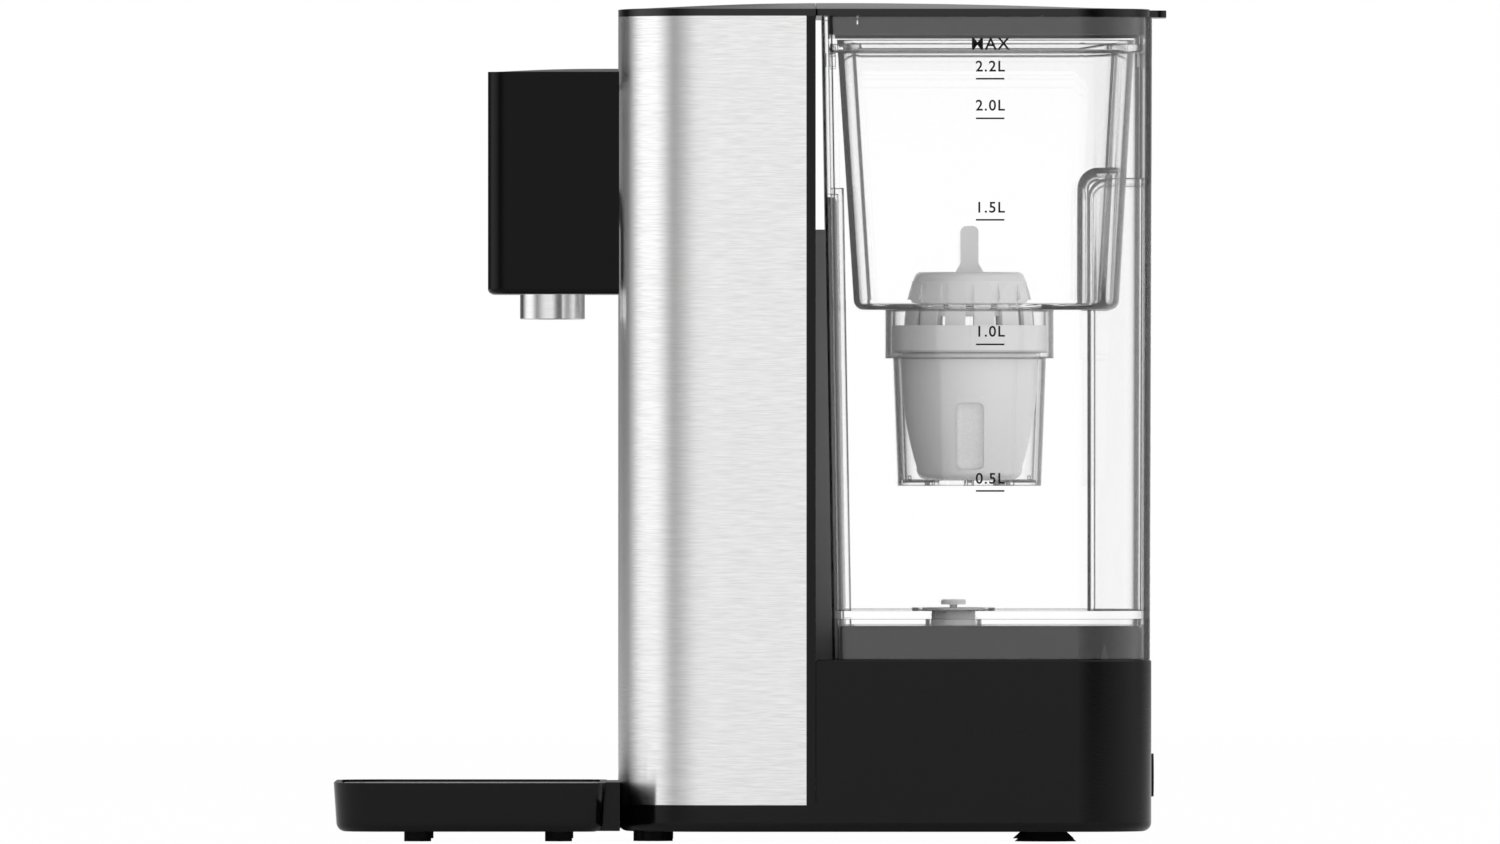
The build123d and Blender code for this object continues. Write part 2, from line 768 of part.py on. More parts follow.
def recess_block(wall, bottom_z):
    """A leaning block behind the column: the tank's recess, or with a wall the form that is left round it."""
    top_z = recess_top_z + wall
    with BuildSketch(Plane.YZ.offset(-spine_half_width - spine_gap - wall)) as side:
        with BuildLine():
            Polyline(
                (column_rear_y, bottom_z),
                (recess_bottom_y + wall + spine_lean * (deck_z - bottom_z), bottom_z),
                (recess_bottom_y + wall + spine_lean * (deck_z - top_z), top_z),
                (column_rear_y, top_z),
                close=True,
            )
        make_face()
    with BuildPart(mode=Mode.PRIVATE) as block:
        extrude(side.sketch, amount=2 * (spine_half_width + spine_gap + wall))
        rear_edges = block.faces().sort_by(Axis.Y)[-1].edges()
        fillet(rear_edges.filter_by(Axis.X, reverse=True), recess_corner + wall)
    return block.part


grip_front_y = tank_rear_y - grip_depth
grip_top_z = tank_top_z - grip_top_drop


def grip_block(wall, bottom_z, half_width, front, top_z, corner):
    """A block at the rear with a rounded brow and uprights: the grip channel, or with a wall its form."""
    with BuildPart(mode=Mode.PRIVATE) as block:
        with Locations((0, front - wall, bottom_z)):
            Box(
                2 * (half_width + wall),
                2 * grip_depth,
                top_z + wall - bottom_z,
                align=(Align.CENTER, Align.MIN, Align.MIN),
            )
        upper = block.edges().filter_by(Axis.X).group_by(Axis.Z)[-1].sort_by(Axis.Y)[0]
        fillet(upper, grip_radius + wall)
        fillet(block.edges().filter_by(Axis.Z).group_by(Axis.Y)[0], corner + wall)
    return block.part


ledge_z = tank_top_z - flange_drop
ledge_root = tank_wall / 2
ledge_offset = tank_wall + (ledge_reach - ledge_root) / 2
ledge_front_y = tank_front_y + ledge_offset
ledge_rear_y = tank_rear_y - ledge_offset

with BuildPart() as tank_form:
    loft(sections=[tank_plan(tank_bottom_z), tank_plan(tank_top_z)])

recess_form = recess_block(tank_wall, tank_bottom_z) & tank_form.part
grip_form = grip_block(tank_wall, tank_floor_z, grip_half_width, grip_front_y, grip_top_z, grip_corner)
grip_form = grip_form & tank_form.part
grip_room = grip_block(0, tank_floor_top_z, grip_half_width, grip_front_y, grip_top_z, grip_corner)

with BuildPart() as tank_vessel:
    add(tank_form.part)
    # the room for water above the floor, and the skirt below it
    room = [tank_plan(tank_floor_top_z, tank_wall), tank_plan(tank_top_z, tank_wall)]
    loft(sections=room, mode=Mode.SUBTRACT)
    room = [tank_plan(tank_bottom_z, tank_wall), tank_plan(tank_floor_z, tank_wall)]
    loft(sections=room, mode=Mode.SUBTRACT)
    # the recess for the spine and the grip channel, each with its wall
    add(recess_form)
    add(recess_block(0, tank_bottom_z), mode=Mode.SUBTRACT)
    add(grip_form)
    add(grip_room, mode=Mode.SUBTRACT)
    # ledges that carry the funnel
    with Locations(*[(side * ledge_front_x, ledge_front_y, ledge_z) for side in SIDES]):
        Box(ledge_width, ledge_reach + ledge_root, ledge_height, align=MAX_Z)
    with Locations(*[(side * ledge_rear_x, ledge_rear_y, ledge_z) for side in SIDES]):
        Box(ledge_width, ledge_reach + ledge_root, ledge_height, align=MAX_Z)
    # the valve's boss and bore
    with Locations((0, valve_y, tank_floor_top_z)):
        Cylinder(valve_boss_radius, valve_boss_height, align=MIN_Z)
        Cylinder(valve_flange_radius + slip_gap, valve_boss_height, align=MIN_Z, mode=Mode.SUBTRACT)
    with Locations((0, valve_y, tank_floor_z)):
        Cylinder(valve_collar_radius, valve_collar_drop, align=MAX_Z)
    with Locations((0, valve_y, collar_bottom_z)):
        Cylinder(valve_bore_radius, tank_floor_top_z - collar_bottom_z, align=MIN_Z, mode=Mode.SUBTRACT)
tank_vessel.part.label = "tank_vessel"
export_step(tank_vessel.part, "parts/tank_vessel.step")

# ------------------------------------------------------------------------------ valve in the tank's floor
valve_top_z = tank_floor_top_z + valve_flange_thickness
valve_body_radius = valve_bore_radius - fit_gap
spigot_bottom_z = collar_bottom_z - spigot_drop
seal_z = collar_bottom_z - spigot_drop / 2

with BuildPart() as valve_body:
    with Locations((0, valve_y, tank_floor_top_z)):
        Cylinder(valve_flange_radius, valve_flange_thickness, align=MIN_Z)
    with Locations((0, valve_y, collar_bottom_z)):
        Cylinder(valve_body_radius, tank_floor_top_z - collar_bottom_z, align=MIN_Z)
        Cylinder(
            valve_body_radius - valve_wall,
            tank_floor_top_z - collar_bottom_z - valve_wall,
            align=MIN_Z,
            mode=Mode.SUBTRACT,
        )
        Cylinder(valve_body_radius, valve_wall, align=MIN_Z)
    with Locations((0, valve_y, collar_bottom_z)):
        Cylinder(spigot_radius, spigot_drop, align=MAX_Z)
    with Locations((0, valve_y, spigot_bottom_z)):
        Cylinder(spigot_radius - spigot_wall, spigot_drop + valve_wall, align=MIN_Z, mode=Mode.SUBTRACT)
        Cylinder(valve_port_radius, head_height, align=MIN_Z, mode=Mode.SUBTRACT)
    with Locations((0, valve_y, seal_z)):
        Cylinder(spigot_radius + fit_gap, seal_ring_height, mode=Mode.SUBTRACT)
        Cylinder(spigot_radius - seal_ring_depth, seal_ring_height)
        Cylinder(spigot_radius - spigot_wall, seal_ring_height, mode=Mode.SUBTRACT)
    # the bridge that guides the stem
    with Locations((0, valve_y, collar_bottom_z)):
        Box(2 * spigot_radius - spigot_wall, guide_width, valve_wall, align=MIN_Z)
        Cylinder(stem_radius + guide_wall, valve_wall, align=MIN_Z)
        Cylinder(stem_radius + fit_gap, valve_wall, align=MIN_Z, mode=Mode.SUBTRACT)
valve_body.part.label = "valve_body"
export_step(valve_body.part, "parts/valve_body.step")

with BuildPart() as valve_seal:
    with Locations((0, valve_y, seal_z)):
        Cylinder(spigot_radius + seal_ring_stand, seal_ring_height - 2 * fit_gap)
        Cylinder(spigot_radius - seal_ring_depth + fit_gap, seal_ring_height, mode=Mode.SUBTRACT)
valve_seal.part.label = "valve_seal"
export_step(valve_seal.part, "parts/valve_seal.step")

poppet_z = valve_top_z + valve_travel + seat_gap
stem_bottom_z = spigot_bottom_z + stem_inset

with BuildPart() as valve_poppet:
    with Locations((0, valve_y, poppet_z)):
        Cylinder(poppet_radius, poppet_thickness, align=MIN_Z)
    fillet(valve_poppet.edges().group_by(Axis.Z)[-1], poppet_thickness / 3)
    with Locations((0, valve_y, stem_bottom_z)):
        Cylinder(stem_radius, poppet_z - stem_bottom_z, align=MIN_Z)
valve_poppet.part.label = "valve_poppet"
export_step(valve_poppet.part, "parts/valve_poppet.step")

seat_floor_z = seat_well_z - seat_floor_thickness
seat_bore_radius = spigot_radius + seal_ring_stand + fit_gap
seat_cup_radius = seat_bore_radius + seat_wall
seat_cup_bottom_z = seat_floor_z - seat_cup_depth
pin_web_z = seat_cup_bottom_z + seat_wall
barb_bottom_z = seat_cup_bottom_z - barb_length

with BuildPart() as tank_seat:
    with Locations((0, valve_y, plinth_top_z - seat_flange_thickness)):
        Cylinder(seat_flange_radius, seat_flange_thickness, align=MIN_Z)
    with Locations((0, valve_y, seat_floor_z)):
        Cylinder(seat_outer_radius, plinth_top_z - seat_floor_z, align=MIN_Z)
    with Locations((0, valve_y, seat_cup_bottom_z)):
        Cylinder(seat_cup_radius, seat_floor_z - seat_cup_bottom_z, align=MIN_Z)
    with Locations((0, valve_y, barb_bottom_z)):
        Cylinder(barb_radius, barb_length, align=MIN_Z)
        Cylinder(barb_bore_radius, barb_length + seat_wall, align=MIN_Z, mode=Mode.SUBTRACT)
    with Locations((0, valve_y, seat_well_z)):
        Cylinder(seat_well_radius, plinth_height, align=MIN_Z, mode=Mode.SUBTRACT)
    with Locations((0, valve_y, pin_web_z)):
        Cylinder(seat_bore_radius, plinth_height, align=MIN_Z, mode=Mode.SUBTRACT)
        Box(2 * seat_bore_radius + seat_wall, pin_web_width, pin_web_height, align=MIN_Z)
        Cylinder(pin_radius, stem_bottom_z - pin_web_z, align=MIN_Z)
tank_seat.part.label = "tank_seat"
export_step(tank_seat.part, "parts/tank_seat.step")

# ------------------------------------------------------------------------------ funnel and its cup
funnel_floor_z = ledge_z - funnel_depth
funnel_floor_top_z = funnel_floor_z + funnel_floor_thickness
flange_top_z = ledge_z + flange_thickness
funnel_top_z = flange_top_z + flange_lip_height
shelf_bottom_z = funnel_floor_z - collar_height
shelf_top_z = shelf_bottom_z + cup_wall
cup_bottom_z = shelf_bottom_z - cup_depth
recess_gap = funnel_recess_gap + tank_wall


def funnel_plan(height, inset=0.0):
    """The funnel's outline at a height: its walls lean in towards its floor."""
    down = (ledge_z - height) / funnel_depth
    return plan(
        tank_front_y + tank_wall + funnel_front_inset + funnel_front_draft * down + inset,
        tank_rear_y - tank_wall - funnel_rear_inset - funnel_rear_draft * down - inset,
        tank_half_width - tank_wall - funnel_side_inset - funnel_side_draft * down - inset,
        funnel_front_radius - inset,
        body_rear_radius - tank_wall - funnel_rear_inset - inset,
        height,
    )


def funnel_recess(wall, bottom_z):
    """The recess that clears the tank's grip channel, or with a wall the form that is left round it."""
    return grip_block(
        wall,
        bottom_z,
        grip_half_width + recess_gap,
        grip_front_y - recess_gap,
        grip_top_z + recess_gap,
        grip_corner + funnel_recess_gap,
    )


with BuildPart() as funnel_form:
    loft(sections=[funnel_plan(funnel_floor_z), funnel_plan(funnel_top_z)])
    fillet(funnel_form.edges().group_by(Axis.Z)[0], funnel_edge_radius)

funnel_recess_form = funnel_recess(funnel_wall, funnel_floor_z) & funnel_form.part

with BuildPart() as funnel_flange:
    extrude(tank_plan(ledge_z, tank_wall + flange_gap), amount=flange_thickness)
    fillet(funnel_flange.edges().group_by(Axis.Z)[0], flange_edge_radius)

with BuildPart() as funnel:
    add(funnel_form.part)
    add(funnel_flange.part)
    room = [funnel_plan(funnel_floor_top_z, funnel_wall), funnel_plan(funnel_top_z, funnel_wall)]
    loft(sections=room, mode=Mode.SUBTRACT)
    add(funnel_recess_form)
    add(funnel_recess(0, funnel_floor_z), mode=Mode.SUBTRACT)
    # the cup that holds the cartridge
    with Locations((0, cup_y, shelf_bottom_z)):
        Cylinder(collar_radius, funnel_floor_top_z - shelf_bottom_z, align=MIN_Z)
    with BuildSketch(Plane.YZ):
        with BuildLine():
            Polyline(
                (cup_y, cup_bottom_z),
                (cup_y + cup_bottom_radius, cup_bottom_z),
                (cup_y + cup_top_radius, shelf_bottom_z),
                (cup_y, shelf_bottom_z),
                close=True,
            )
        make_face()
    revolve(axis=Axis((0, cup_y, 0), (0, 0, 1)))
    with Locations((0, cup_y, shelf_top_z)):
        Cylinder(collar_radius - cup_wall, funnel_depth, align=MIN_Z, mode=Mode.SUBTRACT)
    with BuildSketch(Plane.YZ):
        with BuildLine():
            Polyline(
                (cup_y, cup_bottom_z + cup_wall),
                (cup_y + cup_bottom_radius - cup_wall, cup_bottom_z + cup_wall),
                (cup_y + cup_top_radius - cup_wall, shelf_top_z),
                (cup_y, shelf_top_z),
                close=True,
            )
        make_face()
    revolve(axis=Axis((0, cup_y, 0), (0, 0, 1)), mode=Mode.SUBTRACT)
    with Locations((0, cup_y, cup_bottom_z)):
        with PolarLocations(drip_circle, drip_count):
            Box(drip_length, drip_width, 2 * cup_wall, mode=Mode.SUBTRACT)
    # two ribs that centre the cartridge in the cup
    with Locations((0, cup_y, cup_bottom_z + cup_wall)):
        with PolarLocations(cup_rib_radius, 2, start_angle=90):
            Box(cup_rib_length, cup_rib_width, cup_rib_height, align=MIN_Z)
funnel.part.label = "funnel"
export_step(funnel.part, "parts/funnel.step")

# ------------------------------------------------------------------------------ cartridge
flange_bottom_z = shelf_top_z + seal_thickness
flange_rise_z = flange_bottom_z + cartridge_flange_height
cartridge_bottom_z = cup_bottom_z + cup_wall + slip_gap
dome_top_z = flange_rise_z + dome_height
cartridge_axis = Axis((0, cup_y, 0), (0, 0, 1))


def cartridge_profile(inset, top_z):
    """Half the section of the cartridge's tapered body, moved inwards, as a face to revolve."""
    with BuildSketch(Plane.YZ) as section:
        with BuildLine():
            top = (cup_y + cartridge_top_radius - inset, top_z)
            waist = (cup_y + cartridge_waist_radius - inset, flange_bottom_z - cartridge_waist_drop)
            end = (cup_y + cartridge_end_radius - inset, cartridge_bottom_z + inset)
            ThreePointArc(top, waist, end)
            Polyline(end, (cup_y, cartridge_bottom_z + inset), (cup_y, top_z), top)
        make_face()
    return section.sketch


with BuildPart() as window_block:
    Box(cartridge_top_radius, window_side, window_side_height, align=MIN_Z)
    fillet(window_block.edges().filter_by(Axis.X), window_corner)

with BuildPart() as cartridge_body:
    revolve(cartridge_profile(0, flange_bottom_z), axis=cartridge_axis)
    fillet(cartridge_body.edges().group_by(Axis.Z)[0], cartridge_edge_radius)
    with Locations((0, cup_y, flange_bottom_z)):
        Cylinder(cartridge_flange_radius, cartridge_flange_height, align=MIN_Z)
    revolve(cartridge_profile(cartridge_wall, flange_bottom_z), axis=cartridge_axis, mode=Mode.SUBTRACT)
    with Locations((0, cup_y, flange_bottom_z)):
        Cylinder(
            cartridge_top_radius - cartridge_wall,
            cartridge_flange_height,
            align=MIN_Z,
            mode=Mode.SUBTRACT,
        )
    with Locations((0, cup_y, cartridge_bottom_z + cartridge_edge_radius)):
        with PolarLocations(cartridge_end_radius, window_count):
            add(window_block.part, mode=Mode.SUBTRACT)
cartridge_body.part.label = "cartridge_body"
export_step(cartridge_body.part, "parts/cartridge_body.step")

with BuildPart() as filter_media:
    media_inset = cartridge_wall + media_gap
    revolve(cartridge_profile(media_inset, flange_bottom_z), axis=cartridge_axis)
filter_media.part.label = "filter_media"
export_step(filter_media.part, "parts/filter_media.step")


def dome_profile(inset):
    """Half the section of the cartridge's domed cap, moved inwards, as a face to revolve."""
    with BuildSketch(Plane.YZ) as section:
        with BuildLine():
            foot = (cup_y + dome_radius - inset, flange_rise_z)
            shoulder = (cup_y + dome_shoulder_radius - inset, flange_rise_z + dome_height / 2)
            brow = (cup_y + dome_top_radius - inset, dome_top_z - inset)
            crest = (cup_y, dome_top_z - inset)
            ThreePointArc(foot, shoulder, brow)
            Line(brow, crest)
            Polyline(crest, (cup_y, flange_rise_z), foot)
        make_face()
    return section.sketch


with BuildPart() as cartridge_cap:
    revolve(dome_profile(0), axis=cartridge_axis)
    fillet(cartridge_cap.edges().filter_by(GeomType.CIRCLE).group_by(Axis.Z)[-1], dome_brow)
    with BuildSketch(Plane.YZ.offset(-tab_width / 2)):
        with BuildLine():
            tip_y = tab_thickness / 2
            foot_y = tab_base_thickness / 2
            tab_top_z = dome_top_z + tab_height
            Polyline(
                (cup_y - foot_y, dome_top_z - dome_brow),
                (cup_y - tip_y, dome_top_z + foot_y / 2),
                (cup_y - tip_y, tab_top_z),
                (cup_y + tip_y, tab_top_z),
                (cup_y + tip_y, dome_top_z + foot_y / 2),
                (cup_y + foot_y, dome_top_z - dome_brow),
                close=True,
            )
        make_face()
    extrude(amount=tab_width)
    fillet(cartridge_cap.edges().filter_by(Axis.X).group_by(Axis.Z)[-1], tab_thickness / 3)
    revolve(dome_profile(dome_wall), axis=cartridge_axis, mode=Mode.SUBTRACT)
    # grooves down the side, with a wall behind them and a slot for the water at the foot of each
    with Locations((0, cup_y, flange_rise_z)):
        with PolarLocations(dome_groove_radius, dome_slots):
            Box(dome_radius, dome_slot_width, dome_groove_height, align=FROM_AXIS, mode=Mode.SUBTRACT)
    groove_bore = dome_groove_radius - dome_wall
    with Locations((0, cup_y, flange_rise_z)):
        Cylinder(dome_groove_radius, dome_groove_height, align=MIN_Z)
        Cylinder(groove_bore, dome_groove_height, align=MIN_Z, mode=Mode.SUBTRACT)
        with PolarLocations(groove_bore - dome_wall, dome_slots):
            Box(dome_radius, dome_slot_width, dome_slot_height, align=FROM_AXIS, mode=Mode.SUBTRACT)
cartridge_cap.part.label = "cartridge_cap"
export_step(cartridge_cap.part, "parts/cartridge_cap.step")

with BuildPart() as cartridge_seal:
    with Locations((0, cup_y, shelf_top_z)):
        Cylinder(cartridge_flange_radius, seal_thickness, align=MIN_Z)
        Cylinder(cup_top_radius - cup_wall + fit_gap, seal_thickness, align=MIN_Z, mode=Mode.SUBTRACT)
cartridge_seal.part.label = "cartridge_seal"
export_step(cartridge_seal.part, "parts/cartridge_seal.step")

# ------------------------------------------------------------------------------ lid
lid_front_y = column_rear_y + seat_gap
lid_lip_bottom_z = tank_top_z - lip_depth

with BuildPart() as tank_lid:
    lid_half_width = body_half_width
    outline = plan(lid_front_y, lid_rear_y, lid_half_width, lid_front_radius, body_rear_radius, steel_top_z)
    extrude(outline, amount=trim_height)
    extrude(top_crown, amount=2 * trim_height, dir=(0, 0, 1), mode=Mode.SUBTRACT)
    lip_inset = tank_wall + slip_gap
    extrude(tank_plan(lid_lip_bottom_z, lip_inset), amount=steel_top_z - lid_lip_bottom_z)
    room = tank_plan(lid_lip_bottom_z, lip_inset + lip_wall)
    extrude(room, amount=edge_z - lip_wall - lid_lip_bottom_z, mode=Mode.SUBTRACT)
    # a slit under the rim, with a shallow groove below it, twice on each side of the lip
    lip_height = steel_top_z - lid_lip_bottom_z
    lip_side_x = tank_half_width - lip_inset
    with Locations(*[(0, y, steel_top_z) for y in lip_notch_y]):
        Box(2 * body_half_width, lip_notch_width, lip_notch_height, align=MAX_Z, mode=Mode.SUBTRACT)
    with Locations(*[(side * lip_side_x, y, steel_top_z) for side in SIDES for y in lip_notch_y]):
        Box(2 * lip_groove_depth, lip_notch_width, lip_height, align=MAX_Z, mode=Mode.SUBTRACT)
    with Locations((0, lid_rear_y, steel_top_z)):
        Box(2 * lid_tab_half_width, 2 * lid_tab_reach, rim_height, align=MIN_Z)
    corners = tank_lid.edges().filter_by(Axis.Z).sort_by(Axis.Y)[-2:]
    fillet(corners, lid_tab_reach / 2)
tank_lid.part.label = "tank_lid"
export_step(tank_lid.part, "parts/tank_lid.step")

# ------------------------------------------------------------------------------ drip tray
tray_front_y = body_front_y - tray_reach
tray_rear_y = body_front_y - tray_rear_gap
tray_rim_z = foot_height + tray_rim_rise
grille_top_z = tray_rim_z - grille_sink
grille_bottom_z = grille_top_z - grille_thickness


def tray_plan(height, inset=0.0):
    """The drip tray's outline, without its neck."""
    front = tray_front_y + inset
    rear = tray_rear_y - inset
    half_width = tray_half_width - inset
    return plan(front, rear, half_width, tray_front_radius - inset, tray_rear_radius - inset, height)


tray_foot_spots = [(side * tray_foot_x, tray_front_y + inset) for side in SIDES for inset in tray_foot_insets]

with BuildPart() as drip_tray:
    loft(sections=[tray_plan(foot_height, tray_draft), tray_plan(tray_rim_z)])
    fillet(drip_tray.edges().group_by(Axis.Z)[0], tray_edge_radius)
    with Locations((0, body_front_y + neck_reach, foot_height)):
        Box(
            2 * tray_neck_half_width,
            neck_reach + 3 * tray_rear_gap,
            tray_rim_rise,
            align=(Align.CENTER, Align.MAX, Align.MIN),
        )
    extrude(body_plan(0, -slip_gap), amount=head_height, mode=Mode.SUBTRACT)
    extrude(tray_plan(grille_bottom_z, tray_wall), amount=head_height, mode=Mode.SUBTRACT)
    well = tray_plan(foot_height + tray_floor_thickness, tray_wall + grille_ledge)
    extrude(well, amount=head_height, mode=Mode.SUBTRACT)
drip_tray.part.label = "drip_tray"
export_step(drip_tray.part, "parts/drip_tray.step")

with BuildPart() as tray_feet:
    with Locations(*[(x, y, 0) for x, y in tray_foot_spots]):
        Cylinder(tray_foot_radius, foot_height, align=MIN_Z)
tray_feet.part.label = "tray_feet"
export_step(tray_feet.part, "parts/tray_feet.step")

with BuildPart() as drip_grille:
    extrude(tray_plan(grille_bottom_z, tray_wall + slip_gap), amount=grille_thickness)
    with BuildSketch(Plane.XY.offset(grille_bottom_z)):
        with Locations((0, (tray_front_y + tray_rear_y) / 2)):
            with GridLocations(slot_pitch, 0, slot_count, 1):
                SlotOverall(slot_length, slot_width, rotation=90)
    extrude(amount=grille_thickness, mode=Mode.SUBTRACT)
drip_grille.part.label = "drip_grille"
export_step(drip_grille.part, "parts/drip_grille.step")

# ------------------------------------------------------------------------------ pump
pump_z = plate_top_z + seat_gap + pump_cradle_floor + pump_radius
motor_x = pump_x + pump_width
pump_inlet_x = pump_x - barb_length
pump_outlet_x = pump_x + pump_width / 2
pump_outlet_z = pump_z + pump_outlet_rise
pump_outlet_y = valve_y - pump_radius
rotor_radius = pump_radius - pump_wall - rotor_gap
rotor_disc_x = motor_x - pump_wall - rotor_gap - rotor_disc_thickness
cradle_top_z = plate_top_z + seat_gap + pump_cradle_height


def across(x, y, z):
    """A place whose local Z runs along +X."""
    return Location((x, y, z), (0, 90, 0))


with BuildPart() as pump_housing:
    with Locations(across(pump_x, valve_y, pump_z)):
        Cylinder(pump_radius, pump_width, align=MIN_Z)
    with Locations(across(pump_inlet_x, valve_y, pump_z)):
        Cylinder(barb_radius, barb_length, align=MIN_Z)
    with Locations(Location((pump_outlet_x, valve_y, pump_outlet_z), (90, 0, 0))):
        Cylinder(barb_radius, pump_radius + barb_length, align=MIN_Z)
        Cylinder(barb_bore_radius, pump_radius + barb_length, align=MIN_Z, mode=Mode.SUBTRACT)
    with Locations(across(pump_x + pump_wall, valve_y, pump_z)):
        chamber_width = pump_width - 2 * pump_wall
        Cylinder(pump_radius - pump_wall, chamber_width, align=MIN_Z, mode=Mode.SUBTRACT)
    with Locations(across(pump_inlet_x, valve_y, pump_z)):
        Cylinder(barb_bore_radius, barb_length + pump_wall, align=MIN_Z, mode=Mode.SUBTRACT)
    with Locations(across(motor_x - pump_wall, valve_y, pump_z)):
        Cylinder(shaft_radius + fit_gap, pump_wall, align=MIN_Z, mode=Mode.SUBTRACT)
pump_housing.part.label = "pump_housing"
export_step(pump_housing.part, "parts/pump_housing.step")

with BuildPart() as pump_motor:
    with Locations(across(motor_x, valve_y, pump_z)):
        Cylinder(motor_radius, motor_length, align=MIN_Z)
        Cylinder(motor_nose_radius, motor_length + motor_nose_length, align=MIN_Z)
        Cylinder(shaft_radius + fit_gap, motor_bore_depth, align=MIN_Z, mode=Mode.SUBTRACT)
pump_motor.part.label = "pump_motor"
export_step(pump_motor.part, "parts/pump_motor.step")

with BuildPart() as pump_rotor:
    with Locations(across(rotor_disc_x, valve_y, pump_z)):
        Cylinder(rotor_radius, rotor_disc_thickness, align=MIN_Z)
        with Locations((0, 0, -vane_height)):
            Cylinder(rotor_hub_radius, vane_height, align=MIN_Z)
            with PolarLocations(rotor_radius / 2, vane_count):
                Box(rotor_radius - 2 * fit_gap, vane_thickness, vane_height, align=MIN_Z)
    with Locations(across(rotor_disc_x, valve_y, pump_z)):
        Cylinder(shaft_radius, motor_x - rotor_disc_x + motor_bore_depth - slip_gap, align=MIN_Z)
pump_rotor.part.label = "pump_rotor"
export_step(pump_rotor.part, "parts/pump_rotor.step")

with BuildPart() as pump_cradle:
    with Locations((pump_x + pump_cradle_shortfall, valve_y, plate_top_z + seat_gap)):
        Box(
            pump_width + motor_length - 2 * pump_cradle_shortfall,
            2 * pump_cradle_half_width,
            cradle_top_z - plate_top_z - seat_gap,
            align=(Align.MIN, Align.CENTER, Align.MIN),
        )
    with Locations(across(pump_x, valve_y, pump_z)):
        Cylinder(pump_radius + fit_gap, pump_width + fit_gap, align=MIN_Z, mode=Mode.SUBTRACT)
        Cylinder(motor_radius + fit_gap, pump_width + motor_length, align=MIN_Z, mode=Mode.SUBTRACT)
pump_cradle.part.label = "pump_cradle"
export_step(pump_cradle.part, "parts/pump_cradle.step")

# ------------------------------------------------------------------------------ heater and separator
separator_bottom_z = head_bottom_z + separator_rise
separator_rear_y = heater_y + separator_depth / 2
separator_front_y = heater_y - separator_depth / 2
spout_z = separator_bottom_z + separator_spout_rise
heater_x = pump_outlet_x
heater_top_z = separator_bottom_z - 2 * barb_length - riser_gap
heater_bottom_z = heater_top_z - heater_length
frame_rear_y = strip_front_y - seat_gap
cap_radius = heater_radius + heater_cap_rim

with BuildPart() as heater_tube:
    with Locations((heater_x, heater_y, heater_bottom_z + heater_cap_height)):
        Cylinder(heater_radius, heater_length - 2 * heater_cap_height, align=MIN_Z)
        Cylinder(
            heater_radius - heater_wall,
            heater_length - 2 * heater_cap_height,
            align=MIN_Z,
            mode=Mode.SUBTRACT,
        )
heater_tube.part.label = "heater_tube"
export_step(heater_tube.part, "parts/heater_tube.step")

with BuildPart() as heater_caps:
    # turned about the middle of the heater, so that the upper cap is the lower one upside down
    middle = Location((heater_x, heater_y, heater_bottom_z + heater_length / 2))
    turned = Location((heater_x, heater_y, heater_bottom_z + heater_length / 2), (180, 0, 0))
    with Locations(middle, turned):
        with Locations((0, 0, -heater_length / 2)):
            Cylinder(cap_radius, heater_cap_height - fit_gap, align=MIN_Z)
            Cylinder(barb_radius, barb_length, align=MAX_Z)
        with Locations((0, 0, -heater_length / 2 - barb_length)):
            bore_length = barb_length + heater_cap_height
            Cylinder(barb_bore_radius, bore_length, align=MIN_Z, mode=Mode.SUBTRACT)
heater_caps.part.label = "heater_caps"
export_step(heater_caps.part, "parts/heater_caps.step")

with BuildPart() as heater_clamps:
    clamp_heights = (heater_bottom_z + clamp_inset, heater_top_z - clamp_inset - clamp_height)
    with Locations(*[(heater_x, heater_y, height) for height in clamp_heights]):
        Box(
            clamp_arm_width,
            frame_rear_y - heater_y,
            clamp_height,
            align=(Align.CENTER, Align.MIN, Align.MIN),
        )
        Cylinder(heater_radius + clamp_wall, clamp_height, align=MIN_Z)
        Cylinder(heater_radius + fit_gap, clamp_height, align=MIN_Z, mode=Mode.SUBTRACT)
heater_clamps.part.label = "heater_clamps"
export_step(heater_clamps.part, "parts/heater_clamps.step")

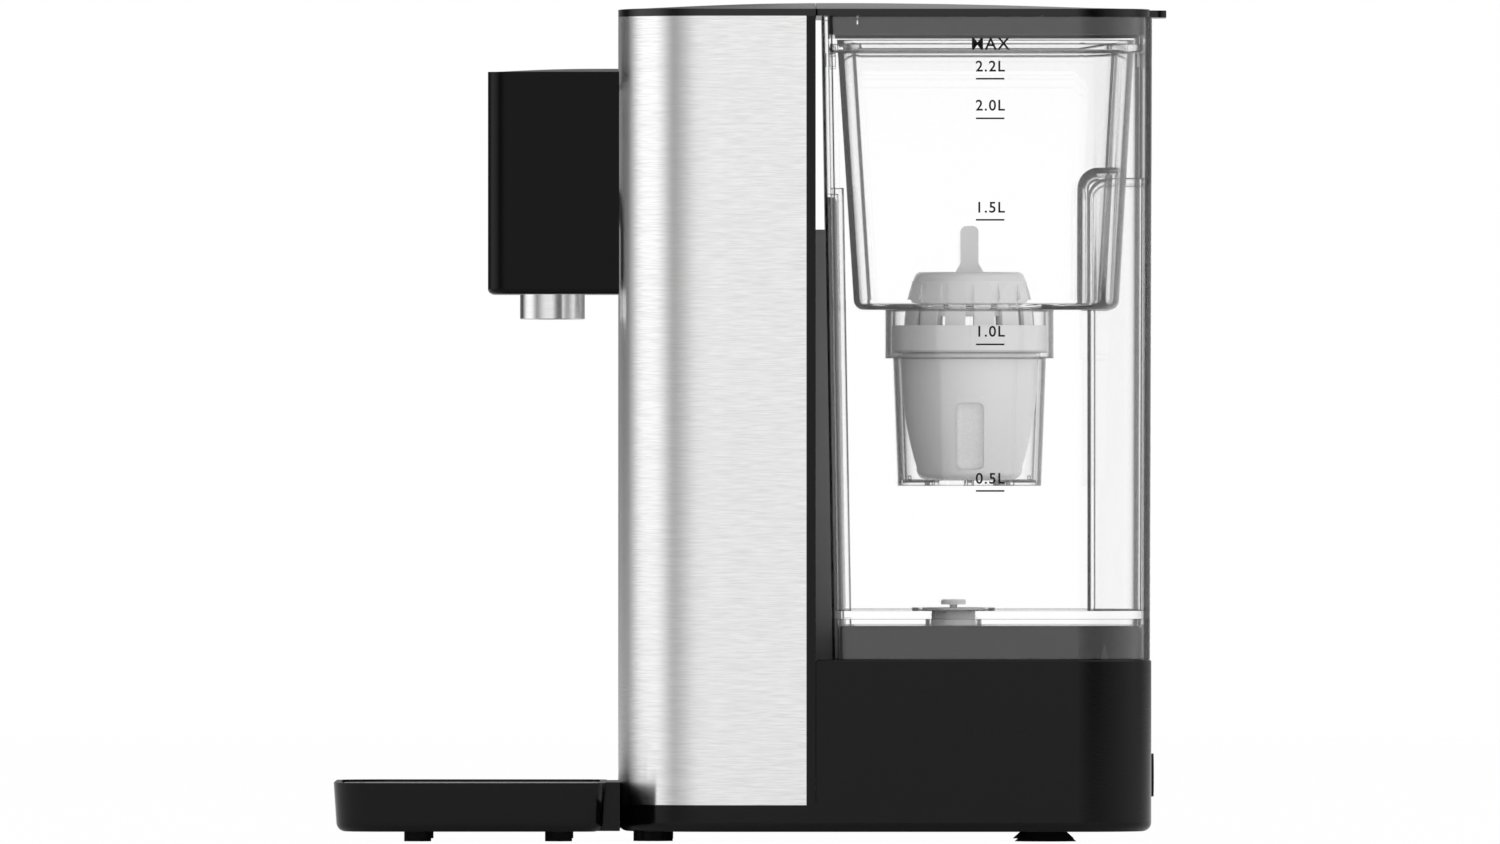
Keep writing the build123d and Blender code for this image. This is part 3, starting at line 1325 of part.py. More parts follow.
with BuildPart() as steam_separator:
    with Locations((separator_x, heater_y, separator_bottom_z)):
        Box(2 * separator_half_width, separator_depth, separator_height, align=MIN_Z)
    corners = steam_separator.edges().filter_by(Axis.Z)
    fillet(corners, 2 * separator_wall)
    with Locations((separator_x, heater_y, separator_bottom_z + separator_wall)):
        Box(
            2 * (separator_half_width - separator_wall),
            separator_depth - 2 * separator_wall,
            separator_height - 2 * separator_wall,
            align=MIN_Z,
            mode=Mode.SUBTRACT,
        )
    # the inlet over the heater, the spout towards the nozzle and the vent
    with Locations((heater_x, heater_y, separator_bottom_z)):
        Cylinder(barb_radius, barb_length, align=MAX_Z)
    with Locations(Location((0, separator_front_y, spout_z), (90, 0, 0))):
        Cylinder(nozzle_spigot_radius, barb_length, align=MIN_Z)
    with Locations((separator_x, heater_y, separator_bottom_z + separator_height)):
        Cylinder(separator_vent_radius, separator_vent_height, align=MIN_Z)
        Cylinder(barb_bore_radius, 2 * separator_vent_height, mode=Mode.SUBTRACT)
    with Locations((heater_x, heater_y, separator_bottom_z - barb_length)):
        Cylinder(barb_bore_radius, barb_length + separator_wall, align=MIN_Z, mode=Mode.SUBTRACT)
    with Locations(Location((0, separator_front_y + separator_wall, spout_z), (90, 0, 0))):
        Cylinder(outlet_radius, barb_length + separator_wall, align=MIN_Z, mode=Mode.SUBTRACT)
    # the lugs on the column's rear wall
    with Locations((separator_x, separator_rear_y, separator_bottom_z + separator_lug_rise)):
        with GridLocations(separator_lug_spacing, 0, 2, 1):
            Box(
                separator_lug_thickness,
                frame_rear_y - separator_rear_y,
                separator_lug_height,
                align=(Align.CENTER, Align.MIN, Align.MIN),
            )
steam_separator.part.label = "steam_separator"
export_step(steam_separator.part, "parts/steam_separator.step")


# ------------------------------------------------------------------------------ soft tubes
def soft_tube(points, bend, bore):
    """A soft tube along straight runs with a round bend at each corner."""
    with BuildPart(mode=Mode.PRIVATE) as hose:
        with BuildLine() as route:
            FilletPolyline(*points, radius=bend)
        with BuildSketch(Plane(origin=route.line @ 0, z_dir=route.line % 0)):
            Circle(bore + tube_wall)
            Circle(bore, mode=Mode.SUBTRACT)
        sweep()
    return hose.part


barb_fit = barb_radius + fit_gap
inlet_top_z = seat_cup_bottom_z - seat_gap
inlet_route = [
    (0, valve_y, inlet_top_z),
    (0, valve_y, pump_z),
    (pump_x - seat_gap, valve_y, pump_z),
]
feed_route = [
    (pump_outlet_x, pump_outlet_y, pump_outlet_z),
    (heater_x, heater_y, pump_outlet_z),
    (heater_x, heater_y, heater_bottom_z - seat_gap),
]
outlet_route = [
    (0, separator_front_y - seat_gap, spout_z),
    (0, nozzle_y, spout_z),
    (0, nozzle_y, head_bottom_z + shell_wall + seat_gap),
]
inlet_hose = soft_tube(inlet_route, inlet_bend, barb_fit)
feed_hose = soft_tube(feed_route, feed_bend, barb_fit)
outlet_hose = soft_tube(outlet_route, outlet_bend, nozzle_spigot_radius + fit_gap)

with BuildPart() as inlet_tube:
    add(inlet_hose)
inlet_tube.part.label = "inlet_tube"
export_step(inlet_tube.part, "parts/inlet_tube.step")

with BuildPart() as feed_tube:
    add(feed_hose)
feed_tube.part.label = "feed_tube"
export_step(feed_tube.part, "parts/feed_tube.step")

with BuildPart() as riser_tube:
    with Locations((heater_x, heater_y, heater_top_z + seat_gap)):
        riser_length = separator_bottom_z - heater_top_z - 2 * seat_gap
        Cylinder(barb_fit + tube_wall, riser_length, align=MIN_Z)
        Cylinder(barb_fit, riser_length, align=MIN_Z, mode=Mode.SUBTRACT)
riser_tube.part.label = "riser_tube"
export_step(riser_tube.part, "parts/riser_tube.step")

with BuildPart() as outlet_tube:
    add(outlet_hose)
outlet_tube.part.label = "outlet_tube"
export_step(outlet_tube.part, "parts/outlet_tube.step")

# ------------------------------------------------------------------------------ circuit boards
frame_side_x = body_half_width - frame_inner_inset - seat_gap
power_board_z = steel_bottom_z + power_board_rise
power_board_rear_y = power_board_front_y + power_board_width
power_board_top_z = power_board_z + power_board_height
board_face_x = power_board_x + board_thickness
standoff_places = [
    (-frame_side_x, y, z)
    for y in (power_board_rear_y - power_board_width / 2, power_board_rear_y - standoff_inset)
    for z in (power_board_z + standoff_inset, power_board_top_z - standoff_inset)
]

with BuildPart() as power_board:
    with Locations((power_board_x, power_board_front_y, power_board_z)):
        Box(
            board_thickness,
            power_board_width,
            power_board_height,
            align=(Align.MIN, Align.MIN, Align.MIN),
        )
    with Locations(*[across(*place) for place in standoff_places]):
        Cylinder(standoff_radius, power_board_x + frame_side_x, align=MIN_Z)
    board_middle_y = power_board_front_y + power_board_width / 2
    on_board = (Align.MIN, Align.CENTER, Align.MIN)
    with Locations((board_face_x, board_middle_y, power_board_z + standoff_inset)):
        Box(*transformer_size, align=on_board)
    relay_z = power_board_z + 2 * standoff_inset + transformer_size[2]
    with Locations((board_face_x, board_middle_y, relay_z)):
        with Locations((0, -relay_size[1] * 0.75, 0), (0, relay_size[1] * 0.75, 0)):
            Box(*relay_size, align=on_board)
    capacitor_z = relay_z + relay_size[2] + standoff_inset + capacitor_radius
    with Locations(
        across(board_face_x, board_middle_y - 1.5 * capacitor_radius, capacitor_z),
        across(board_face_x, board_middle_y + 1.5 * capacitor_radius, capacitor_z),
    ):
        Cylinder(capacitor_radius, capacitor_length, align=MIN_Z)
    with Locations((board_face_x, board_middle_y, power_board_top_z - standoff_inset)):
        with GridLocations(0, fin_pitch, 1, fin_count):
            Box(*fin_size, align=(Align.MIN, Align.CENTER, Align.MAX))
power_board.part.label = "power_board"
export_step(power_board.part, "parts/power_board.step")

touch_board_z = head_split_z - touch_board_drop
touch_board_front_y = head_front_y + panel_margin + touch_board_inset
touch_board_half_width = panel_half_width - touch_board_inset
touch_board_depth = panel_depth - 2 * touch_board_inset

with BuildPart() as touch_board:
    with Locations((0, touch_board_front_y + touch_board_depth / 2, touch_board_z)):
        Box(2 * touch_board_half_width, touch_board_depth, board_thickness, align=MIN_Z)
        post_spacing = 2 * (touch_board_half_width - standoff_inset)
        with GridLocations(post_spacing, touch_board_depth - standoff_inset, 2, 2):
            Cylinder(touch_board_post, touch_board_drop - seat_gap, align=MIN_Z)
touch_board.part.label = "touch_board"
export_step(touch_board.part, "parts/touch_board.step")

level_board_z = deck_z + level_board_rise
level_board_y = column_rear_y + level_board_stand
level_post_heights = (level_board_z + standoff_inset, level_board_z + level_board_height - standoff_inset)

with BuildPart() as level_board:
    with Locations((0, level_board_y, level_board_z)):
        Box(
            2 * level_board_half_width,
            board_thickness,
            level_board_height,
            align=(Align.CENTER, Align.MIN, Align.MIN),
        )
    with Locations(*[Location((0, level_board_y, z), (90, 0, 0)) for z in level_post_heights]):
        Cylinder(level_board_post, level_board_stand - seat_gap, align=MIN_Z)
level_board.part.label = "level_board"
export_step(level_board.part, "parts/level_board.step")
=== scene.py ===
# %% [markdown]
# # A countertop water dispenser with a clear tank
#
# The object is a steel-wrapped column with an outlet head in front and a clear, lift-off tank behind.
# A funnel with a filter cartridge hangs inside the tank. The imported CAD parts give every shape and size.
# This script dresses them: it gives each part its finish, prints the volume scale on the tank, and lights
# the whole like a product on a white table.

# %% Load the frame
import math

import bpy
from mathutils import Matrix, Vector


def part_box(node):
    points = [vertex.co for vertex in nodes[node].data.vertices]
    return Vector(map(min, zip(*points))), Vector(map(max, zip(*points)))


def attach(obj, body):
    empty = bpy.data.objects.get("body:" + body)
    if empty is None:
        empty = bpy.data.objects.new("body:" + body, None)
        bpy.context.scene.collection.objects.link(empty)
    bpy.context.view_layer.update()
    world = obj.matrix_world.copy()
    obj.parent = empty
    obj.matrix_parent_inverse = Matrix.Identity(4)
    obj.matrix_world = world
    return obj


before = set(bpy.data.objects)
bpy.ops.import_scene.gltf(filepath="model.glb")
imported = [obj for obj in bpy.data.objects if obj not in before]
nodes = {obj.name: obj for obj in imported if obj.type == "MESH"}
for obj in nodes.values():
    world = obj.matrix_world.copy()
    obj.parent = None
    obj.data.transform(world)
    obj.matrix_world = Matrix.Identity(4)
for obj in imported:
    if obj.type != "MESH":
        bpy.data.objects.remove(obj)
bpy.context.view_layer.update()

# %% [markdown]
# ## Camera
#
# The view is square on to the side, and nearly free of perspective: the tray's rim and the lid's rim are
# seen as lines. A very long lens far away gives that, and still works as a normal camera from any side.

# %% Camera
picture_width_m = 0.5529  # what the frame spans at the object
lens_mm = 800.0
sensor_mm = 36.0
side_wall_x = 0.066  # the scale holds on the side that faces the camera
camera_distance = picture_width_m * lens_mm / sensor_mm + side_wall_x
camera_y = -0.0002
camera_height = 0.1548

camera_data = bpy.data.cameras.new("camera")
camera_data.lens = lens_mm
camera_data.sensor_width = sensor_mm
camera_data.clip_start = 0.1
camera_data.clip_end = 100.0
camera = bpy.data.objects.new("camera", camera_data)
camera.location = (camera_distance, camera_y, camera_height)
camera.rotation_mode = "QUATERNION"
camera.rotation_quaternion = Vector((-1, 0, 0)).to_track_quat("-Z", "Y")
bpy.context.collection.objects.link(camera)
bpy.context.scene.camera = camera
bpy.context.scene.view_settings.view_transform = "Standard"
print("camera at", round(camera_distance, 3), "m")

# %% [markdown]
# ## Node helpers
#
# A node tree gets long when every node and link is written out. A few helpers keep the materials readable:
# one adds a Math node, one a colour ramp of greys, and one mixes two shaders.

# %% Node helpers
def new_nodes(owner):
    """An empty node tree for a material or the world, with its output node."""
    owner.use_nodes = True
    node_tree = owner.node_tree
    node_tree.nodes.clear()
    kind = "ShaderNodeOutputWorld" if isinstance(owner, bpy.types.World) else "ShaderNodeOutputMaterial"
    return node_tree, node_tree.nodes.new(kind)


def grey(level):
    """A colour with three equal channels."""
    return (level, level, level)


def math_node(node_tree, operation, *values):
    """A Math node; numbers are set on it and sockets are linked to it."""
    node = node_tree.nodes.new("ShaderNodeMath")
    node.operation = operation
    for socket, value in zip(node.inputs, values):
        if isinstance(value, bpy.types.NodeSocket):
            node_tree.links.new(value, socket)
        else:
            socket.default_value = value
    return node.outputs[0]


def tone_curve(node_tree, value, tones):
    """A grey that follows a value through the given (value, grey) stops."""
    ramp = node_tree.nodes.new("ShaderNodeValToRGB")
    stops = ramp.color_ramp.elements
    while len(stops) < len(tones):
        stops.new(1.0)
    for stop, (position, level) in zip(stops, tones):
        stop.position = position
        stop.color = (*grey(level), 1.0)
    node_tree.links.new(value, ramp.inputs["Fac"])
    return ramp.outputs["Color"]


def mix_shaders(node_tree, share, first, second):
    """The first shader, replaced by the second where the share is 1."""
    mixed = node_tree.nodes.new("ShaderNodeMixShader")
    for socket, value in zip(mixed.inputs, (share, first, second)):
        node_tree.links.new(value, socket)
    return mixed.outputs[0]


def seen_directly(node_tree):
    """1 for rays from the camera and through clear walls, 0 for those that light or mirror."""
    ray = node_tree.nodes.new("ShaderNodeLightPath")
    return math_node(node_tree, "MAXIMUM", ray.outputs["Is Camera Ray"], ray.outputs["Is Transmission Ray"])


print("node helpers ready")

# %% [markdown]
# ## Studio
#
# Metal and polished plastic show what stands round them, so the world is a ring of light and dark bands, as
# soft boxes and the gaps between them would be. The gaps draw the dark bands that make a rounded steel corner
# read as steel. The bands differ by compass angle alone, up to a bright ceiling. The camera, and whatever is
# seen through the clear walls, gets plain white instead.

# %% World
# how bright the studio is, by the angle from the camera's side, positive towards the outlet
studio_ring = [
    (-180, 0.40), (-150, 0.25), (-114, 0.33), (-98, 0.75), (-84, 0.80), (-66, 0.60), (-52, 0.38),
    (-40, 0.20), (-31, 0.07), (-20, 0.05), (-10, 0.35), (-4, 0.90), (-1, 0.96), (14, 0.96),
    (27, 0.92), (34, 0.81), (41, 0.59), (48, 0.40), (54, 0.26), (58, 0.25), (64, 0.50), (71, 0.86),
    (79, 1.16), (88, 1.22), (99, 1.18), (107, 1.02), (118, 0.50), (130, 0.05), (142, 0.05), (158, 0.20),
]
brightest = 1.25  # a ramp holds no more than 1, so the ring is scaled down to it and up again
overhead = 0.85
ceiling_from, ceiling_to = 0.55, 0.85  # how far up a direction points where the ceiling begins and is full

world = bpy.data.worlds.new("world")
bpy.context.scene.world = world
tree, output = new_nodes(world)
direction = tree.nodes.new("ShaderNodeTexCoord").outputs["Generated"]
mirrored = tree.nodes.new("ShaderNodeMapping")
mirrored.inputs["Scale"].default_value = (1.0, -1.0, 1.0)
tree.links.new(direction, mirrored.inputs["Vector"])
compass = tree.nodes.new("ShaderNodeTexGradient")
compass.gradient_type = "RADIAL"
tree.links.new(mirrored.outputs[0], compass.inputs["Vector"])
ring_stops = [((degrees + 180) / 360, level / brightest) for degrees, level in studio_ring]
ring = tone_curve(tree, compass.outputs["Fac"], ring_stops)
print("studio ring:", len(studio_ring), "stops")

# %% [markdown]
# The ring and the ceiling are two backgrounds, mixed by height. A third, white, takes their place for the
# rays that look past the object.

# %% World shaders
split = tree.nodes.new("ShaderNodeSeparateXYZ")
tree.links.new(direction, split.inputs[0])
upward = tree.nodes.new("ShaderNodeMapRange")
upward.interpolation_type = "SMOOTHSTEP"
upward.inputs["From Min"].default_value = ceiling_from
upward.inputs["From Max"].default_value = ceiling_to
tree.links.new(split.outputs["Z"], upward.inputs["Value"])
room = tree.nodes.new("ShaderNodeBackground")
room.inputs["Strength"].default_value = brightest
tree.links.new(ring, room.inputs["Color"])
ceiling = tree.nodes.new("ShaderNodeBackground")
ceiling.inputs["Color"].default_value = (*grey(overhead), 1.0)
backdrop = tree.nodes.new("ShaderNodeBackground")
backdrop.inputs["Color"].default_value = (1.0, 1.0, 1.0, 1.0)
studio = mix_shaders(tree, upward.outputs[0], room.outputs[0], ceiling.outputs[0])
surroundings = mix_shaders(tree, seen_directly(tree), studio, backdrop.outputs[0])
tree.links.new(surroundings, output.inputs["Surface"])
print("world: ring, ceiling and white backdrop")

# %% [markdown]
# ## Lamps
#
# Two large lamps shape the object: one on the tank's side gives the white cartridge its light and dark side,
# and one overhead lifts the upper faces. They would draw bright squares in the steel and the clear walls, so
# reflections and clear walls don't show them. What shines in the metal is the world's ring.

# %% Lamps
def soft_box(name, direction, distance, width, height, radiance, aim=(0.0, 0.0, 0.15)):
    """A rectangular lamp that faces the object; its radiance is how bright its face is."""
    lamp_data = bpy.data.lights.new(name, "AREA")
    lamp_data.shape = "RECTANGLE"
    lamp_data.size, lamp_data.size_y = width, height
    lamp_data.energy = radiance * math.pi * width * height
    lamp = bpy.data.objects.new(name, lamp_data)
    toward = Vector(direction).normalized()
    lamp.location = Vector(aim) + toward * distance
    lamp.rotation_mode = "QUATERNION"
    lamp.rotation_quaternion = (-toward).to_track_quat("-Z", "Y")
    lamp.visible_camera = False
    lamp.visible_transmission = False
    lamp.visible_glossy = False
    bpy.context.collection.objects.link(lamp)
    print(name, "at", [round(v, 2) for v in lamp.location])


def around(degrees, rise=0.0):
    """A direction that starts at the camera's side and turns towards the outlet's side."""
    a = math.radians(degrees)
    return (math.cos(a), -math.sin(a), rise)


soft_box("box_tank_side", around(-60.0, rise=0.35), distance=2.2, width=1.4, height=1.8, radiance=0.8)
soft_box("box_top", (0.3, 0.2, 1.0), distance=2.0, width=1.8, height=1.8, radiance=0.5)

# %% [markdown]
# ## Light paths
#
# Light crosses many clear walls here: the tank's, the funnel's and the cup's, near side and far side. With
# the usual number of bounces the walls behind would turn black.

# %% Light paths
clear_wall_bounces = 40
paths = bpy.context.scene.cycles
paths.max_bounces = clear_wall_bounces
paths.transmission_bounces = clear_wall_bounces
paths.transparent_max_bounces = clear_wall_bounces
paths.glossy_bounces = 12
print("bounces through clear walls:", clear_wall_bounces)

# %% [markdown]
# ## Floor
#
# The floor is white paper. For the camera nearly all of its tone is a plain white, and the small rest is lit
# paper, which holds the object's shadow.

# %% Floor
half = 4.0
paper_tone = 0.90
white_share = 0.985

corners = [(-half, -half, 0), (half, -half, 0), (half, half, 0), (-half, half, 0)]
floor_mesh = bpy.data.meshes.new("floor")
floor_mesh.from_pydata(corners, [], [(0, 1, 2, 3)])
floor = bpy.data.objects.new("floor", floor_mesh)
bpy.context.collection.objects.link(floor)
floor_material = bpy.data.materials.new("floor")
tree, output = new_nodes(floor_material)
paper = tree.nodes.new("ShaderNodeBsdfDiffuse")
paper.inputs["Color"].default_value = (*grey(paper_tone), 1.0)
glow = tree.nodes.new("ShaderNodeEmission")
glow.inputs["Color"].default_value = (1.0, 1.0, 1.0, 1.0)
share = math_node(tree, "MULTIPLY", seen_directly(tree), white_share)
tree.links.new(mix_shaders(tree, share, paper.outputs[0], glow.outputs[0]), output.inputs["Surface"])
floor_mesh.materials.append(floor_material)
print("floor:", 2 * half, "m square")

# %% [markdown]
# ## Material helpers
#
# Every finish is a Principled shader. What varies over a surface, such as brushing or moulding texture,
# drives its colour, roughness or bump; what is the same everywhere is set on the shader.

# %% Material helpers
def new_material(name):
    """A material with one Principled shader, its node tree and the shader."""
    made = bpy.data.materials.new(name)
    node_tree, material_output = new_nodes(made)
    principled = node_tree.nodes.new("ShaderNodeBsdfPrincipled")
    node_tree.links.new(principled.outputs[0], material_output.inputs["Surface"])
    return made, node_tree, principled


def noise(node_tree, scale, detail=2.0, stretch=(1.0, 1.0, 1.0), offset=(0.0, 0.0, 0.0)):
    """Noise in the object's own space; stretch multiplies the coordinates, so a small number draws it out."""
    place = node_tree.nodes.new("ShaderNodeTexCoord")
    mapping = node_tree.nodes.new("ShaderNodeMapping")
    mapping.inputs["Scale"].default_value = stretch
    mapping.inputs["Location"].default_value = offset
    texture = node_tree.nodes.new("ShaderNodeTexNoise")
    texture.inputs["Scale"].default_value = scale
    texture.inputs["Detail"].default_value = detail
    node_tree.links.new(place.outputs["Object"], mapping.inputs["Vector"])
    node_tree.links.new(mapping.outputs[0], texture.inputs["Vector"])
    return texture.outputs["Fac"]


def spread(node_tree, value, low, high, start=0.3, end=0.7):
    """Maps a value's range from start to end, at first the usual range of a noise, to low to high."""
    ranged = node_tree.nodes.new("ShaderNodeMapRange")
    ranged.inputs["From Min"].default_value = start
    ranged.inputs["From Max"].default_value = end
    ranged.inputs["To Min"].default_value = low
    ranged.inputs["To Max"].default_value = high
    node_tree.links.new(value, ranged.inputs["Value"])
    return ranged.outputs[0]


def two_tone(node_tree, value, dark, light, start=0.3, end=0.7):
    """A colour between dark and light by a noise."""
    ramp = node_tree.nodes.new("ShaderNodeValToRGB")
    ramp.color_ramp.elements[0].position = start
    ramp.color_ramp.elements[0].color = (*dark, 1.0)
    ramp.color_ramp.elements[1].position = end
    ramp.color_ramp.elements[1].color = (*light, 1.0)
    node_tree.links.new(value, ramp.inputs["Fac"])
    return ramp.outputs["Color"]


def bump(node_tree, principled, height, distance, strength=1.0):
    """Raises the surface by a height signal, over a distance in metres."""
    relief = node_tree.nodes.new("ShaderNodeBump")
    relief.inputs["Distance"].default_value = distance
    relief.inputs["Strength"].default_value = strength
    node_tree.links.new(height, relief.inputs["Height"])
    node_tree.links.new(relief.outputs[0], principled.inputs["Normal"])


def dress(material, *names):
    """Gives CAD nodes a finish."""
    for name in names:
        slots = nodes[name].data.materials
        slots.clear()
        slots.append(material)
    print("dressed", ", ".join(names), "in", material.name)


# %% [markdown]
# ## Brushed steel
#
# The column's sheet is brushed along its width before it is bent, so the grain runs round it. Fine lines
# of brighter and duller metal are several millimetres long and a few tenths of a millimetre high. The noise
# is stretched along X and Y alike, which draws it out along any upright wall. Anisotropy does what the
# grooves do to a reflection: it smears it up and down and leaves it sharp round the column.

# %% Brushed steel
steel, tree, shader = new_material("brushed_steel")
fine = noise(tree, 1.0, 3.0, (130.0, 130.0, 2600.0))
coarse = noise(tree, 1.0, 2.0, (40.0, 40.0, 1100.0), (3.1, 1.7, 0.4))
streaks = math_node(tree, "MULTIPLY_ADD", fine, 0.7, math_node(tree, "MULTIPLY", coarse, 0.3))
dull, bright = (0.86, 0.86, 0.858), (0.985, 0.985, 0.983)
tree.links.new(two_tone(tree, streaks, dull, bright, 0.36, 0.62), shader.inputs["Base Color"])
tree.links.new(spread(tree, streaks, 0.24, 0.18), shader.inputs["Roughness"])
bump(tree, shader, streaks, 0.00002, 0.35)
tangent = tree.nodes.new("ShaderNodeTangent")
tangent.direction_type = "RADIAL"
tangent.axis = "Z"
tree.links.new(tangent.outputs[0], shader.inputs["Tangent"])
shader.inputs["Metallic"].default_value = 1.0
shader.inputs["Anisotropic"].default_value = 0.9
shader.inputs["Anisotropic Rotation"].default_value = 0.25
dress(steel, "steel_panel")

# %% [markdown]
# ## Other steel
#
# The nozzle's sleeve is a turned tube, so its very fine grain runs round its axis. The grille is brushed along
# its width before its slots are pressed. The screws are plated, with a dull, pitted surface. All three are a
# noise between two tones of metal, so one helper makes them.

# %% Other steel
def plain_steel(name, grain_scale, stretch, dull, bright, rough, smooth):
    """A metal with a grain, and the parts of it that a bump may be added to."""
    made, node_tree, principled = new_material(name)
    grain = noise(node_tree, grain_scale, 3.0, stretch)
    node_tree.links.new(two_tone(node_tree, grain, dull, bright), principled.inputs["Base Color"])
    node_tree.links.new(spread(node_tree, grain, rough, smooth), principled.inputs["Roughness"])
    principled.inputs["Metallic"].default_value = 1.0
    return made, node_tree, principled, grain


sleeve_steel, tree, shader, grain = plain_steel(
    "sleeve_steel", 1.0, (60.0, 60.0, 5200.0), grey(0.80), (0.90, 0.90, 0.895), rough=0.20, smooth=0.14)
bump(tree, shader, grain, 0.00001, 0.15)
dress(sleeve_steel, "nozzle_sleeve")

grille_steel, tree, shader, grain = plain_steel(
    "grille_steel", 1.0, (30.0, 2400.0, 2400.0), grey(0.50), (0.66, 0.66, 0.655), rough=0.36, smooth=0.26)
bump(tree, shader, grain, 0.00003, 0.4)
dress(grille_steel, "drip_grille")

screw_steel, *_ = plain_steel(
    "screw_steel", 900.0, (1.0, 1.0, 1.0), grey(0.30), (0.46, 0.46, 0.45), rough=0.5, smooth=0.35)
dress(screw_steel, "plate_screws")

# %% [markdown]
# ## Black and grey mouldings
#
# The body is black plastic from polished moulds. It stays nearly black from every side: its own colour is
# deep, and its gloss weak. A fine, shallow orange-peel relief breaks up the highlights. The rims of the lid
# and the cap are glossier than the body, and the pieces that the tank stands against are a dull grey. The
# spine behind the tank is that grey painted several times paler: painted light for the shade it stands in.

# %% Moulded plastic
def moulded(name, dark, light, roughness, specular, grain_scale=1400.0, relief=0.00002):
    """A moulded plastic with a fine grain: its colour and roughness vary a little over the surface."""
    made, node_tree, principled = new_material(name)
    patches = noise(node_tree, 22.0, 3.0)
    skin = noise(node_tree, grain_scale, 3.0)
    node_tree.links.new(two_tone(node_tree, patches, dark, light), principled.inputs["Base Color"])
    node_tree.links.new(spread(node_tree, skin, *roughness), principled.inputs["Roughness"])
    bump(node_tree, principled, skin, relief, 0.5)
    principled.inputs["Specular IOR Level"].default_value = specular
    return made


black = moulded("black_plastic", grey(0.0012), grey(0.0018), (0.10, 0.16), 0.24)
dress(black, "base_housing", "column_frame", "drip_tray")
head_black = moulded("head_black_plastic", grey(0.0008), grey(0.0012), (0.12, 0.18), 0.15)
dress(head_black, "head_shell", "head_lid")
rim_black = moulded("rim_black_plastic", grey(0.0015), grey(0.0025), (0.10, 0.16), 0.46)
dress(rim_black, "column_cap", "tank_lid")
panel_black = moulded("panel_black", grey(0.004), grey(0.005), (0.05, 0.08), 0.5, 300.0, 0.000004)
dress(panel_black, "touch_panel")
dark_grey = moulded("dark_grey_plastic", grey(0.050), grey(0.058), (0.45, 0.55), 0.35, 900.0, 0.00003)
dress(dark_grey, "base_plate", "tank_seat", "nozzle_insert")
# painted light: the spine's grey is several times paler than the dark grey, to make up for the shade between
# the column and the tank
spine_painted_light = moulded("spine_painted_light_plastic", grey(0.235), grey(0.255), (0.45, 0.55), 0.35, 900.0, 0.00003)
dress(spine_painted_light, "rear_spine")
rubber = moulded("black_rubber", grey(0.014), grey(0.022), (0.62, 0.78), 0.3, 700.0, 0.00006)
dress(rubber, "front_feet", "rear_feet", "tray_feet", "valve_seal", "mains_inlet")

# %% [markdown]
# The steel corner next to the head would mirror it as a dark patch. On the lit product that corner shows the
# bright studio, so the head is left out of reflections.

# %% Head out of reflections
hidden_from_mirrors = ("head_shell", "head_lid", "touch_panel")
for name in hidden_from_mirrors:
    nodes[name].visible_glossy = False
print("left out of reflections:", ", ".join(hidden_from_mirrors))

# %% [markdown]
# ## Clear mouldings
#
# The tank is clear copolyester, and the funnel a clear plastic. The funnel refracts as plastic does. The tank
# hardly bends light here, so that what is inside it keeps its outline, and a thin coat gives it its gloss.
#
# What reads as clear plastic is its dark lines: along the edges, and where a rounded corner turns away. On the
# real walls refraction and internal reflection make them; here they are painted shade, drawn by colour. A bevel
# that disagrees with the face marks an edge, and the turn towards edge-on marks a corner. A flat wall seen at a
# slant has to stay clear, so a normal that is square to an axis takes the painted darkening away, unless the
# wall is seen fully edge on. Gains by the depth of the object make some corners' painted lines wider than
# others.

# %% Turn and edge masks for the painted shade
gain_span = 0.2  # metres from the front to the rear that the gains cover
gain_top = 3.0  # a ramp holds no more than 1, so the gains are scaled down to it and up again
flat_from, flat_to = 0.990, 0.997  # how square a normal is where a wall starts to count as flat, and does
edge_on_from, edge_on_to = 0.93, 0.97  # the turn at which a wall starts to count as edge on, and does


def turn_shade_mask(node_tree, geometry, gains):
    """How far a rounded corner has turned away, or a wall is seen edge on, times the gain at its place: the
    mask of its painted shade.
    """
    weight = node_tree.nodes.new("ShaderNodeLayerWeight")
    weight.inputs["Blend"].default_value = 0.5
    facing = weight.outputs["Facing"]
    entering = math_node(node_tree, "SUBTRACT", 1.0, geometry.outputs["Backfacing"])
    turned = math_node(node_tree, "MULTIPLY", facing, entering)
    upright = node_tree.nodes.new("ShaderNodeVectorMath")
    upright.operation = "ABSOLUTE"
    node_tree.links.new(geometry.outputs["Normal"], upright.inputs[0])
    sides = node_tree.nodes.new("ShaderNodeSeparateXYZ")
    node_tree.links.new(upright.outputs[0], sides.inputs[0])
    square = math_node(node_tree, "MAXIMUM", sides.outputs["X"], sides.outputs["Y"])
    square = math_node(node_tree, "MAXIMUM", square, sides.outputs["Z"])
    rounding = spread(node_tree, square, 1.0, 0.0, flat_from, flat_to)
    edge_on = spread(node_tree, facing, 0.0, 1.0, edge_on_from, edge_on_to)
    turned = math_node(node_tree, "MULTIPLY", turned, math_node(node_tree, "MAXIMUM", rounding, edge_on))
    place = node_tree.nodes.new("ShaderNodeTexCoord")
    axes = node_tree.nodes.new("ShaderNodeSeparateXYZ")
    node_tree.links.new(place.outputs["Object"], axes.inputs[0])
    along = math_node(node_tree, "DIVIDE", axes.outputs["Y"], gain_span)
    gain = tone_curve(node_tree, along, [(y / gain_span, level / gain_top) for y, level in gains])
    gained = math_node(node_tree, "MULTIPLY", turned, gain)
    return math_node(node_tree, "MULTIPLY", gained, gain_top)


